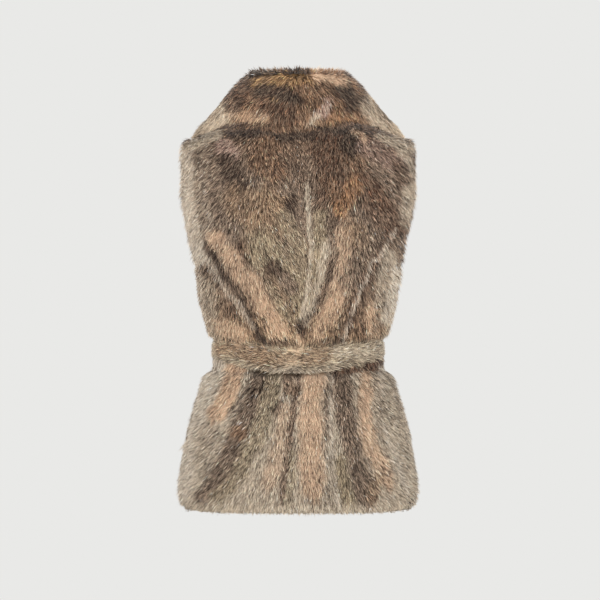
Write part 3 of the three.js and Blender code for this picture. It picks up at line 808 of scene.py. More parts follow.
@dataclass(frozen=True)
class Colouring:
    """The dyes of a piece by height, and the stripes and patches painted over them in order."""

    ground: tuple[tuple[float, Dye], ...]
    stripes: tuple[Stripe, ...]
    mottle: float
    seed: int
    # the depth by height is painted shade and painted light
    depth: Profile  # what the dyes are multiplied by, by height
    wander: tuple[float, float] = (4.5, 8)  # how far broad stripes stray in X and Z
    broad: float = 16
    edge: tuple[float, float] = (0.5, 1.15)  # of a stripe's half width: where it fades

    def weight(self, stripe: Stripe, points: Array, shift_x: Array, shift_z: Array) -> Array:
        """How strongly a stripe dyes each place.

        Args:
            stripe: The stripe.
            points: The places, seen square on.
            shift_x: How far a broad stripe strays across there.
            shift_z: How far it strays up.

        Returns:
            From 0 outside the stripe to its strength.
        """
        held = min(1, stripe.half_width / self.broad)
        x, z = points[..., 0] + held * shift_x, points[..., 2] + held * shift_z
        away = np.full(x.shape, np.inf)
        for (ax, az), (bx, bz) in zip(stripe.line, stripe.line[1:]):
            square = (bx - ax) ** 2 + (bz - az) ** 2
            along = np.clip(((x - ax) * (bx - ax) + (z - az) * (bz - az)) / square, 0, 1)
            away = np.minimum(away, np.hypot(x - lerp(ax, bx, along), z - lerp(az, bz, along)))
        weight = stripe.strength * (1 - smooth(away / stripe.half_width, *self.edge))
        return weight * (points[..., 1] < 0) if stripe.back_only else weight

    def at(self, points: Array) -> Array:
        """The pile's colour.

        Args:
            points: Places in millimetres.

        Returns:
            Linear red, green and blue for each place.
        """
        noise = SoftNoise(16, self.seed)
        shift_x = self.wander[0] * noise.at(points)
        shift_z = self.wander[1] * noise.at(points + 500)
        seen = (points - VIEW_CENTRE) * VIEW_DISTANCE / (VIEW_DISTANCE + points[..., 1:2])
        points = VIEW_CENTRE + seen
        colour = np.stack([
            Profile(tuple((height, float(dye.linear()[k])) for height, dye in self.ground))
            .at(points[..., 2] + shift_z)
            for k in range(3)
        ], axis=-1)
        for stripe in self.stripes:
            weight = self.weight(stripe, points, shift_x, shift_z)
            colour = lerp(colour, stripe.dye.linear(), weight[..., None])
        cloud = 0.6 * SoftNoise(26, self.seed + 1).at(points)
        cloud += 0.6 * SoftNoise(9, self.seed + 2).at(points)
        grey = (colour @ LUMINANCE)[..., None]
        rich = grey * (colour / grey) ** RICHER
        # the depth by height is painted shade and painted light
        lighter = PALER * self.depth.at(points[..., 2]) * np.exp(self.mottle * cloud)
        return rich * (grey / MIDDLE) ** DEEPER * lighter[..., None]


@dataclass(frozen=True)
class Brushing:
    """How the pile is brushed: guides seen square on, and how far a place reads them from."""

    guides: tuple[Lean, ...]
    reach: float = 34.0

    def at(self, points: Array) -> Array:
        """The brushed directions.

        Args:
            points: Places in millimetres.

        Returns:
            A direction in the plane of X and Z for each place.
        """
        total = np.zeros(points.shape)
        for guide in self.guides:
            distance = np.hypot(points[..., 0] - guide.x, (points[..., 2] - guide.z) * 0.8)
            weight = np.exp(-((distance / self.reach) ** 2)) + 1e-4 / (1 + distance)
            turn = np.radians(guide.degrees)
            total += weight[..., None] * np.array([np.sin(turn), 0, -np.cos(turn)])
        return unit(total)


@dataclass(frozen=True)
class Strands:
    """One kind of strand of the pile."""

    count: int
    clump: int  # strands that share a tuft
    length: float
    width: float
    spread: float  # radius of a tuft at its root
    gather: float  # how far the tips of a tuft draw together
    bent: bool
    # At the root and the tip: dark-rooted, pale-tipped fibres, with painted shade at the roots deep
    # in the pile
    root_shade: float
    tip_shade: float
    stray: float  # degrees

GUARD_HAIR = Strands(
    count=74000, clump=3, length=18, width=1.0, spread=1.6, gather=0.35, bent=True,
    root_shade=0.2, tip_shade=1.65, stray=11,
)
UNDERFUR = Strands(
    count=50000, clump=6, length=12, width=1.15, spread=2.6, gather=0.25, bent=False,
    root_shade=0.3, tip_shade=0.75, stray=16,
)


@dataclass
class Tufts:
    """The places where tufts grow, with all that their strands need to know there."""

    points: Array
    normals: Array
    brushed: Array
    loft: Array  # height of the tips over the roots
    room: Array  # the longest that a strand may be
    curve: Array  # one over the radius at which the surface bends away under the strands
    colour: Array = field(default_factory=lambda: np.zeros((0, 3)))


# How unevenly the strands grow
TUFT_TURN = 9.0  # degrees
LENGTHS = (0.85, 1.12)
ROOM_USED = (0.7, 1.1)
WIDTHS = (0.75, 1.25)
ROLL = 50.0  # degrees
SUNK = 0.6  # how deep the roots sit
STEEPEST = 0.8  # the most of a strand's length that its tip may stand up
TUFT_VARIETY = 0.14
STRAND_VARIETY = 0.48
DARK_STRANDS = 0.22  # the share of them, and how far they go towards the dark dye
DARKENED = 0.78
PALE_STRANDS = 0.18
PALED = 0.6
# Along a strand: its middle, and its root and tip in pale pile, where the painted shade at the roots
# is least
STEM_SHADE = 0.84
CALM_SHADE = 0.95


@dataclass
class StrandMesh:
    """Points, faces, colours and shading directions of strands that are being grown."""

    points: list[Array] = field(default_factory=list)
    normals: list[Array] = field(default_factory=list)
    colours: list[Array] = field(default_factory=list)
    faces: list[Array] = field(default_factory=list)
    size: int = 0

    def add(
        self, corners: Array, normals: Array, colours: Array, faces: tuple[tuple[int, ...], ...],
    ) -> None:
        """Adds strands that all have the same number of corners.

        Args:
            corners: The corners of each strand.
            normals: The direction that shades each corner.
            colours: The linear colour of each corner.
            faces: One strand's triangles, as numbers of its corners.
        """
        count, each = corners.shape[:2]
        starts = self.size + np.arange(count)[:, None, None] * each
        self.points.append(corners.reshape(-1, 3))
        self.normals.append(normals.reshape(-1, 3))
        self.colours.append(colours.reshape(-1, 3))
        self.faces.append((starts + np.array(faces)).reshape(-1, 3))
        self.size += count * each

    def grow(self, kind: Strands, tufts: Tufts, rng: np.random.Generator) -> None:
        """Grows strands of one kind.

        Args:
            kind: The kind of strand.
            tufts: Where they grow.
            rng: The source of chance.
        """
        count, each = len(tufts.points), kind.clump
        normal = tufts.normals
        turn = np.radians(rng.normal(0, TUFT_TURN, count))[:, None]
        aside = np.cross(normal, tufts.brushed)
        along = unit(tufts.brushed * np.cos(turn) + aside * np.sin(turn))
        aside = np.cross(normal, along)
        reach = kind.length * rng.uniform(*LENGTHS, count)
        reach = np.minimum(reach, tufts.room * rng.uniform(*ROOM_USED, count))
        loft = np.minimum(tufts.loft, STEEPEST * reach)
        run = np.sqrt(reach**2 - loft**2)
        drop = tufts.curve * run**2 / 2
        tip = tufts.points + along * run[:, None] + normal * (loft - drop)[:, None]

        def spread(values: Array) -> Array:
            """Gives each strand of a tuft the tuft's value."""
            return np.repeat(values[:, None], each, axis=1)

        offset = rng.normal(0, kind.spread / 1.6, (count, each, 2))
        root = (
            spread(tufts.points) + spread(aside) * offset[..., :1] + spread(along) * offset[..., 1:]
            - spread(normal) * SUNK
        )
        stray = np.radians(rng.normal(0, kind.stray, (count, each)))[..., None]
        heading = spread(along) * np.cos(stray) + spread(aside) * np.sin(stray)
        size, rise = (self.uneven(rng.random((count, each, 1))) for _ in range(2))
        height = spread(loft)[..., None] * rise
        fallen = spread(drop)[..., None] * size**2
        own_tip = root + heading * spread(run)[..., None] * size
        own_tip = own_tip + spread(normal) * (height - fallen)
        end = lerp(own_tip, spread(tip), kind.gather * size)
        roll = np.radians(rng.uniform(-ROLL, ROLL, (count, each)))[..., None]
        stem = unit(end - root)
        flat = unit(np.cross(spread(normal), stem))
        width = unit(flat * np.cos(roll) + np.cross(stem, flat) * np.sin(roll)) * kind.width / 2
        width = width * rng.uniform(*WIDTHS, (count, each))[..., None]
        facing = np.cross(stem, width)
        outward = np.sign(np.sum(facing * spread(normal), axis=-1, keepdims=True) + 1e-9)
        shade = unit(0.75 * spread(normal) + 0.25 * unit(facing * outward))
        tint = self.tints(spread(tufts.colour), rng)
        # Darker at the root and paler at the tip: the fibres' own tones, with painted shade at the
        # roots deep in the pile, least in pale pile
        calm = smooth(tufts.colour @ LUMINANCE, *CALM)[:, None, None]
        foot = tint * lerp(kind.root_shade, CALM_SHADE, 0.65 * calm)
        stem_tint = tint * STEM_SHADE
        point = tint * lerp(kind.tip_shade, CALM_SHADE, 0.6 * calm)
        if kind.bent:
            middle = lerp(root, end, 0.5) + spread(normal) * (0.17 * height + 0.25 * fallen)
            corners = np.stack([root, middle - width, middle + width, end], axis=2)
            colours = np.stack([foot, stem_tint, stem_tint, point], axis=2)
            faces = ((0, 1, 2), (1, 3, 2))
        else:
            corners = np.stack([root - width, root + width, end], axis=2)
            colours = np.stack([foot, foot, point], axis=2)
            faces = ((0, 2, 1),)
        shades = np.repeat(shade[:, :, None], corners.shape[2], axis=2)
        rows = (values.reshape(count * each, -1, 3) for values in (corners, shades, colours))
        self.add(*rows, faces)

    @staticmethod
    def uneven(chance: Array) -> Array:
        """A share of the full size: most strands lie close and a few stand well clear."""
        return 0.6 + 0.42 * chance + 0.4 * chance**7

    @staticmethod
    def tints(colour: Array, rng: np.random.Generator) -> Array:
        """Varies the colour of each strand, with a few dark and a few pale ones among them.

        Args:
            colour: The pile's colour at each strand.
            rng: The source of chance.

        Returns:
            The strands' colours.
        """
        count, each = colour.shape[:2]
        lively = LIVELY.at(colour @ LUMINANCE)[..., None]
        apart = STRAND_VARIETY * lively
        tuft = np.exp(rng.normal(0, TUFT_VARIETY, (count, 1, 1)))
        own = np.exp(rng.normal(0, 1, (count, each, 1)) * apart - apart**2 / 2 + 0.115)
        tint = colour * tuft * own
        pick = (rng.random((count, each, 1)) - 0.5) * lively + 0.5
        dark = Dye.CHARCOAL.linear() * 0.8
        pale = Dye.CREAM.linear() * 0.5 + colour * 0.7
        tint = np.where(pick < DARK_STRANDS, lerp(tint, dark, DARKENED), tint)
        return np.where(pick > 1 - PALE_STRANDS, lerp(tint, pale, PALED), tint)


def make_mesh(name: str, points: Array, faces: Array) -> bpy.types.Object:
    """Makes an object from points in millimetres and faces that all have as many corners.

    Args:
        name: The object's name.
        points: The corners.
        faces: The faces as rows of corner numbers.

    Returns:
        The object, in metres and in the scene.
    """
    mesh = bpy.data.meshes.new(name)
    each = faces.shape[1]
    mesh.vertices.add(len(points))
    mesh.vertices.foreach_set("co", (points / METRE).astype(np.float32).ravel())
    mesh.loops.add(faces.size)
    mesh.loops.foreach_set("vertex_index", faces.astype(np.int32).ravel())
    mesh.polygons.add(len(faces))
    mesh.polygons.foreach_set("loop_start", np.arange(0, faces.size, each, dtype=np.int32))
    mesh.update(calc_edges=True)
    mesh.validate()
    thing = bpy.data.objects.new(name, mesh)
    bpy.context.scene.collection.objects.link(thing)
    return thing


def paint(thing: bpy.types.Object, colours: Array) -> None:
    """Stores a linear colour for each corner point of a mesh under the name dye.

    Args:
        thing: The object.
        colours: Red, green and blue for each point of its mesh.
    """
    layer = thing.data.color_attributes.new("dye", "FLOAT_COLOR", "POINT")
    full = np.ones((len(colours), 4), np.float32)
    full[:, :3] = np.clip(colours, 0, 1)
    layer.data.foreach_set("color", full.ravel())


class Recipe:
    """A material that is being made from nodes."""

    def __init__(self, name: str) -> None:
        """Starts a material with its usual shader alone.

        Args:
            name: The material's name.
        """
        self.material = bpy.data.materials.new(name)
        self.material.use_nodes = True
        self.nodes = self.material.node_tree.nodes
        self.shader = self.nodes["Principled BSDF"]

    def set(self, node: bpy.types.Node, inputs: dict[str | int, object]) -> bpy.types.Node:
        """Sets inputs of a node.

        Args:
            node: The node.
            inputs: A value, or the output that feeds it, for each input by name or number.

        Returns:
            The node.
        """
        for name, value in inputs.items():
            if isinstance(value, bpy.types.NodeSocket):
                self.material.node_tree.links.new(value, node.inputs[name])
            else:
                node.inputs[name].default_value = value
        return node

    def add(
        self, kind: str, inputs: dict[str | int, object], output: str, **settings: object,
    ) -> bpy.types.NodeSocket:
        """Adds a node.

        Args:
            kind: Its type.
            inputs: A value or an output for each input.
            output: The name of the output that is wanted.
            settings: The node's own settings.

        Returns:
            That output.
        """
        node = self.nodes.new(f"ShaderNode{kind}")
        for name, value in settings.items():
            setattr(node, name, value)
        return self.set(node, inputs).outputs[output]

    def place(self) -> bpy.types.NodeSocket:
        """The place on the object, in metres."""
        return self.add("TexCoord", {}, "Object")

    def dyed(self, noise: bpy.types.NodeSocket, low: float, high: float) -> bpy.types.NodeSocket:
        """The painted dye, deeper and paler by a noise.

        Args:
            noise: A value of about 0 to 1.
            low: What the dye is multiplied by at 0.
            high: What it is multiplied by at 1.

        Returns:
            The colour.
        """
        dye = self.add("Attribute", {}, "Color", attribute_name="dye")
        depth = self.add("MapRange", {"Value": noise, "To Min": low, "To Max": high}, "Result")
        return self.add("VectorMath", {0: dye, "Scale": depth}, "Vector", operation="SCALE")

    def bump(
        self, height: bpy.types.NodeSocket, strength: float, distance: float,
    ) -> bpy.types.NodeSocket:
        """The direction of a surface with a fine relief.

        Args:
            height: The relief, of about 0 to 1.
            strength: How much of it shows.
            distance: Its full height in metres.

        Returns:
            The direction.
        """
        inputs = {"Strength": strength, "Distance": distance, "Height": height}
        return self.add("Bump", inputs, "Normal")


@dataclass(frozen=True)
class Finish:
    """A finish, which says what feeds the usual shader."""

    def inputs(self, recipe: Recipe) -> dict[str, object]:
        """The shader's inputs by name, for a material that is being made."""
        raise NotImplementedError

    def material(self, name: str) -> bpy.types.Material:
        """Makes the material.

        Args:
            name: The material's name.

        Returns:
            The material.
        """
        recipe = Recipe(name)
        recipe.set(recipe.shader, self.inputs(recipe))
        return recipe.material


@dataclass(frozen=True)
class PileFinish(Finish):
    """The finish of the standing pile: soft, dull fibres with a faint sheen, dyed one by one."""

    roughness: float = 0.62
    sheen: float = 0.3
    sheen_roughness: float = 0.5
    specular: float = 0.22
    streak: float = 0.15  # how much the dye varies along a fibre
    grain: float = 560  # patches of it to a metre

    def inputs(self, recipe: Recipe) -> dict[str, object]:
        """Reads the strands' dye and varies it finely along them.

        Args:
            recipe: The material that is being made.

        Returns:
            The shader's inputs by name.
        """
        grain = {"Vector": recipe.place(), "Scale": self.grain, "Detail": 2}
        noise = recipe.add("TexNoise", grain, "Fac")
        return {
            "Roughness": self.roughness,
            "Sheen Weight": self.sheen,
            "Sheen Roughness": self.sheen_roughness,
            "Specular IOR Level": self.specular,
            "Base Color": recipe.dyed(noise, 1 - self.streak, 1 + self.streak),
        }


@dataclass(frozen=True)
class GroundFinish(Finish):
    """The finish of the cloth's outer face, where the feet of the pile stand close together."""

    roughness: float = 0.9
    specular: float = 0.1
    grain: tuple[float, float, float] = (900, 900, 220)  # tufts to a metre
    darkest: float = 0.55
    palest: float = 1.35
    bump: float = 0.6
    bump_height: float = 0.001  # metres

    def inputs(self, recipe: Recipe) -> dict[str, object]:
        """Reads the painted dye and breaks it up like felted fibres.

        Args:
            recipe: The material that is being made.

        Returns:
            The shader's inputs by name.
        """
        grain = {"Vector": recipe.place(), "Scale": self.grain}
        stretched = recipe.add("Mapping", grain, "Vector")
        noise = recipe.add("TexNoise", {"Vector": stretched, "Scale": 1, "Detail": 3}, "Fac")
        return {
            "Roughness": self.roughness,
            "Specular IOR Level": self.specular,
            "Base Color": recipe.dyed(noise, self.darkest, self.palest),
            "Normal": recipe.bump(noise, self.bump, self.bump_height),
        }


@dataclass(frozen=True)
class BackingFinish(Finish):
    """The finish of the cloth's inner face: the knitted back of the pile."""

    colour: tuple[int, int, int] = (150, 131, 110)
    darkest: float = 0.62
    palest: float = 1.12
    pitch: float = 1.5  # millimetres from one rib of stitches to the next
    row_pitch: float = 0.7  # of that
    roughness: float = 0.88
    sheen: float = 0.15
    bump: float = 0.5
    bump_height: float = 0.0005  # metres

    def inputs(self, recipe: Recipe) -> dict[str, object]:
        """Draws fine ribs and rows of stitches with a slight unevenness.

        Args:
            recipe: The material that is being made.

        Returns:
            The shader's inputs by name.
        """
        place = recipe.place()
        ribs, rows = (
            recipe.add("TexWave", {
                "Vector": place, "Scale": METRE / pitch / 20, "Distortion": 1.2, "Detail": 1,
                "Detail Scale": 2,
            }, "Fac", bands_direction=direction)
            for direction, pitch in (("X", self.pitch), ("Z", self.pitch * self.row_pitch))
        )
        weave = recipe.add("Math", {0: ribs, 1: rows}, "Value", operation="MULTIPLY")
        cloud = recipe.add("TexNoise", {"Vector": place, "Scale": 26, "Detail": 3}, "Fac")
        shade = recipe.add(
            "Math", {0: weave, 1: 0.6, 2: cloud}, "Value", operation="MULTIPLY_ADD",
        )
        ramp = recipe.nodes.new("ShaderNodeValToRGB")
        base = to_linear(self.colour)
        stops = ((0.25, self.darkest), (0.95, self.palest))
        for element, (position, depth) in zip(ramp.color_ramp.elements, stops):
            element.position, element.color = position, (*(base * depth), 1)
        return {
            "Roughness": self.roughness,
            "Sheen Weight": self.sheen,
            "Base Color": recipe.set(ramp, {"Fac": shade}).outputs["Color"],
            "Normal": recipe.bump(weave, self.bump, self.bump_height),
        }


@dataclass(frozen=True)
class Finishes:
    """The vest's materials."""

    pile: bpy.types.Material
    ground: bpy.types.Material
    backing: bpy.types.Material

    @classmethod
    def make(cls) -> Finishes:
        """Makes the three materials."""
        return cls(
            PileFinish().material("fur_pile"),
            GroundFinish().material("fur_ground"),
            BackingFinish().material("knitted_back"),
        )


@dataclass(frozen=True)
class Cut:
    """A flat piece as it was cut out, before it was sewn and worn."""

    width: float  # metres
    length: float
    area: float  # square metres


BACK_CUT = Cut(0.25, 0.68, 0.134)
FRONT_CUT = Cut(0.24, 0.68, 0.118)
COLLAR_CUT = Cut(0.25, 0.68, 0.073)
BELT_CUT = Cut(0.04, 0.9, 0.036)


@dataclass
class FurPart:
    """One cut piece of faux fur: its cloth and its pile. Each kind of part says where they lie."""

    name: str
    hand: int
    finishes: Finishes
    colouring: Colouring
    slot: str
    seed: int
    held: str
    rests_on: tuple[str, ...]
    cut: Cut
    share_of_strands: float = 1.0
    ground_layer: float = 0.36  # of the wall: how far the cloth and the feet of its pile reach
    # The cloth's face is darker than the pile: the underfur's deeper tone, with painted shade under
    # the strands
    ground_shade: tuple[float, float] = (0.5, 0.8)  # of dark and of pale pile
    thinned: float = 0.35
    loft_seen: float = 0.7  # how far out, and along a strand, its dye is read
    run_seen: float = 0.45

    def mirrored(self, points: Array) -> Array:
        """Brings points or directions of the +X half to this part's hand."""
        return points * np.array([self.hand, 1, 1])

    def cloth_grids(self) -> tuple[Array, Array]:
        """The inner and outer points of the cloth, by row and column."""
        raise NotImplementedError

    def tufts(self, count: int, rng: np.random.Generator) -> Tufts:
        """The places of that many tufts, without their colour."""
        raise NotImplementedError

    def build_cloth(self) -> bpy.types.Object:
        """Makes the thin closed cloth from its grids and dresses both faces.

        Returns:
            The cloth.
        """
        inner, outer = (self.mirrored(grid) for grid in self.cloth_grids())
        rows, columns = inner.shape[:2]
        points = np.concatenate([inner.reshape(-1, 3), outer.reshape(-1, 3)])
        index = np.arange(rows * columns).reshape(rows, columns)
        first, second = index[:-1, :-1], index[:-1, 1:]
        third, fourth = index[1:, 1:], index[1:, :-1]
        sheet = np.stack([first, second, third, fourth], axis=-1).reshape(-1, 4)
        ring = np.concatenate([index[0, :-1], index[:-1, -1], index[-1, :0:-1], index[:0:-1, 0]])
        after = np.roll(ring, -1)
        lift = rows * columns
        rim = np.stack([ring, ring + lift, after + lift, after], axis=-1)
        faces = np.concatenate([sheet, sheet[:, ::-1] + lift, rim])
        if volume_of(points, faces) < 0:
            faces = faces[:, ::-1]
        cloth = make_mesh(f"{self.name}_cloth", points, faces)
        paint(cloth, np.concatenate([self.ground_colour(inner), self.ground_colour(outer)]))
        cloth.data.materials.append(self.finishes.ground)
        cloth.data.materials.append(self.finishes.backing)
        slots = np.zeros(len(faces), np.int32)
        slots[: len(sheet)] = 1
        cloth.data.polygons.foreach_set("material_index", slots)
        cloth.data.polygons.foreach_set("use_smooth", np.ones(len(faces), bool))
        return cloth

    def ground_colour(self, grid: Array) -> Array:
        """The colour of the feet of the pile at the points of a grid: darker, for the underfur's
        deeper tone and painted shade under the strands.
        """
        colour = self.colouring.at(grid).reshape(-1, 3)
        return colour * lerp(*self.ground_shade, smooth(colour @ LUMINANCE, *CALM))[:, None]

    def build_pile(self) -> bpy.types.Object:
        """Grows the strands of this part as one mesh.

        Returns:
            The pile.
        """
        rng = np.random.default_rng(self.seed)
        strands = StrandMesh()
        thinned = 1.0
        for kind in (UNDERFUR, GUARD_HAIR):
            count = int(kind.count / kind.clump * self.share_of_strands * thinned)
            tufts = self.tufts(count, rng)
            run = self.run_seen * np.minimum(kind.length, tufts.room)
            seen = tufts.brushed * run[:, None]
            seen = seen + tufts.normals * (self.loft_seen * tufts.loft)[:, None]
            tufts.colour = self.colouring.at(tufts.points + seen)
            strands.grow(kind, tufts, rng)
        points, faces = np.concatenate(strands.points), np.concatenate(strands.faces)
        pile = make_mesh(f"{self.name}_pile", points, faces)
        paint(pile, np.concatenate(strands.colours))
        pile.data.polygons.foreach_set("use_smooth", np.ones(len(faces), bool))
        pile.data.normals_split_custom_set_from_vertices(np.concatenate(strands.normals))
        pile.data.materials.append(self.finishes.pile)
        return pile

    def build(self) -> None:
        """Makes the cloth and the pile and fits them to the model."""
        cloth, pile = self.build_cloth(), self.build_pile()
        for piece in (cloth, pile):
            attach(piece, "root")
        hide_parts(self.name)
        sizes = (len(piece.data.polygons) for piece in (cloth, pile))
        log.info("%s: cloth of %d faces, pile of %d", self.name, *sizes)


def volume_of(points: Array, faces: Array) -> float:
    """The volume inside a closed mesh.

    Args:
        points: Its points.
        faces: Its faces, all with four corners.

    Returns:
        The volume, negative if the faces point inwards.
    """
    total = 0.0
    for second, third in ((1, 2), (2, 3)):
        a, b, c = points[faces[:, 0]], points[faces[:, second]], points[faces[:, third]]
        total += float(np.sum(a * np.cross(b, c))) / 6
    return total


@dataclass
class BodyPanel(FurPart):
    """One quarter of the body, from the hem to the shoulder seam."""

    side: Side = Side.BACK
    brushing: Brushing = Brushing(())
    cloth_divisions: tuple[int, int, int] = (66, 12, 24)
    pile_divisions: tuple[int, int, int] = (130, 30, 50)
    under_belt: tuple[float, float] = (12, 17)  # from its middle: where the pile ends
    lap_lift: float = 11.0
    over_belt: float = 20.0  # from its middle to where the pile above it may hang
    least_room: float = 3.0
    past_hem: float = 4.0
    hem_half_width: float = 172.0
    hem_loft: float = 0.45
    hem_band: tuple[float, float] = (4.0, 42.0)  # above the hem: where the pile rises to its full
    belt_loft: float = 0.75
    belt_band: tuple[float, float] = (2.0, 24.0)  # below the belt: the same
    side_band: tuple[float, float] = (0.7, 0.92)  # the shares where the sides' loft takes over
    loft_used: float = 0.95
    flare: float = 9.0  # how far the pile stands out where the wall turns in under it
    flare_band: tuple[float, float] = (60.0, 150.0)  # below the shoulders
    shelf: tuple[float, float] = (0.2, 0.55)  # upward parts of a normal where a shelf starts
    shelf_brush: tuple[float, float] = (0.75, -0.66)  # outwards and up
    over_shoulder: float = 0.5

    def form(self) -> BodyForm:
        """The panel's curved wall."""
        return BodyForm(self.side, self.hand)

    def places(self, rows: int, over_rows: int, columns: int) -> tuple[Array, Array]:
        """An even grid.

        Args:
            rows: How many rows there are up to the yoke.
            over_rows: How many there are over the shoulder.
            columns: How many columns there are from the middle edge to the side.

        Returns:
            The shares and the rises.
        """
        rises = np.concatenate([
            np.linspace(0, 1, rows, endpoint=False), np.linspace(1, 2, over_rows + 1),
        ])
        rise, share = np.meshgrid(rises, np.linspace(0, 1, columns + 1), indexing="ij")
        return share, rise

    def cloth_grids(self) -> tuple[Array, Array]:
        """The inner and outer points of the cloth, by row and column."""
        share, rise = self.places(*self.cloth_divisions)
        form = self.form()
        return form.point(share, rise, 0), form.point(share, rise, self.ground_layer)

    def tufts(self, count: int, rng: np.random.Generator) -> Tufts:
        """Chooses places for tufts, none of them well under the belt or the collar.

        Args:
            count: How many tufts.
            rng: The source of chance.

        Returns:
            The tufts, without their colour.
        """
        place = self.scatter(count, rng)
        brushed, outward, shelf = self.brush(place)
        wall = self.form().wall(place.share, place.rise)
        loft = wall * (1 - self.ground_layer) * self.standing(place) * self.loft_used
        loft = loft + self.flare * outward
        return Tufts(
            place.points, place.normals, brushed, loft, self.room(place, brushed),
            place.curving(brushed) * (1 - shelf[:, 0]),
        )

    def scatter(self, count: int, rng: np.random.Generator) -> Places:
        """Scatters places over the panel and lifts those whose pile laps over the belt.

        Args:
            count: How many places.
            rng: The source of chance.

        Returns:
            The places.
        """
        share, rise = self.places(*self.pile_divisions)
        form = self.form()
        points = self.mirrored(form.point(share, rise, self.ground_layer))
        facing = self.mirrored(form.normal(share, rise))
        to_belt = height_of(rise) - BELT_Z
        under_belt = 1 - smooth(np.abs(to_belt), *self.under_belt)
        under_belt = under_belt * (1 - lapped(points[..., 0], -to_belt))
        under_collar = smooth(form.covered(share, rise), 0.0, 0.05)
        density = np.clip(1 - under_belt - under_collar, 0, 1)
        place = Surface(points, facing, share, rise).scatter(count, density, rng)
        under = BELT_Z - height_of(place.rise)
        lift = self.lap_lift * (lapped(place.points[:, 0], under) * smooth(-under, -26, -19))
        place.points = place.points + place.normals * lift[:, None]
        return place

    def brush(self, place: Places) -> tuple[Array, Array, Array]:
        """Brushes the pile, and levels it where it hangs over a shelf such as the belt's.

        Args:
            place: The places, whose normals are levelled on a shelf.

        Returns:
            The brushed directions, how far the pile stands out for them, and how much of a
            shelf each place is.
        """
        brushed = self.brushing.at(place.points)
        brushed[:, 1] += self.side.value * self.over_shoulder * smooth(place.rise, 1, 1.4)
        outward = np.maximum(0, np.sum(brushed * place.normals, axis=-1))
        outward = outward * smooth(-place.points[:, 2], *self.flare_band)
        brushed = onto_surface(brushed + self.swirl(place.points), place.normals)
        shelf = (smooth(place.normals[:, 2], *self.shelf) * (place.rise < 1))[:, None]
        level = unit(place.normals * np.array([1, 1, 0]))
        place.normals = unit(lerp(place.normals, level, shelf))
        out, up = self.shelf_brush
        return unit(lerp(brushed, out * level + up * UP, shelf)), outward, shelf

    def belt_top(self, place: Places) -> Array:
        """The height at which the belt ends above each place."""
        return BELT_Z + self.over_belt - self.form().sag(place.points[:, 0], place.points[:, 2])

    def room(self, place: Places, brushed: Array) -> Array:
        """How long a strand may be before it hangs too far past the hem or over the belt.

        Args:
            place: The places.
            brushed: The brushed directions there.

        Returns:
            The lengths.
        """
        x, height = place.points[:, 0], place.points[:, 2]
        falling = np.maximum(0.2, -brushed[:, 2])
        past_hem = self.past_hem - self.past_hem * (np.abs(x) / self.hem_half_width) ** 6
        room = np.maximum(self.least_room, (height - HEM_Z + past_hem) / falling)
        belt_top = self.belt_top(place)
        over_belt = np.maximum(9, (height - belt_top + 7) / falling)
        return np.where(height > belt_top - 2, np.minimum(room, over_belt), room)

    def standing(self, place: Places) -> Array:
        """How much of its loft the pile keeps: less under the belt, at the hem and at the sides.

        Args:
            place: The places.

        Returns:
            The shares of the loft.
        """
        height = place.points[:, 2]
        below_belt = self.belt_top(place) - 2 * self.over_belt - height
        near_belt = lerp(self.belt_loft, 1, smooth(below_belt, *self.belt_band))
        standing = np.where(below_belt > -14, near_belt, 1)
        standing *= lerp(self.hem_loft, 1, smooth(height - HEM_Z, *self.hem_band))
        return standing * lerp(1, SIDE_LOFT.at(height), smooth(place.share, *self.side_band))

    def swirl(self, points: Array) -> Array:
        """Small wanderings of the brushed direction.

        Args:
            points: The places.

        Returns:
            What is added to the direction at each place.
        """
        first, second = SoftNoise(30, self.seed + 7), SoftNoise(12, self.seed + 8)
        across = 0.16 * first.at(points) + 0.14 * second.at(points)
        return np.stack([across, np.zeros(len(points)), 0.1 * second.at(points + 200)], axis=-1)


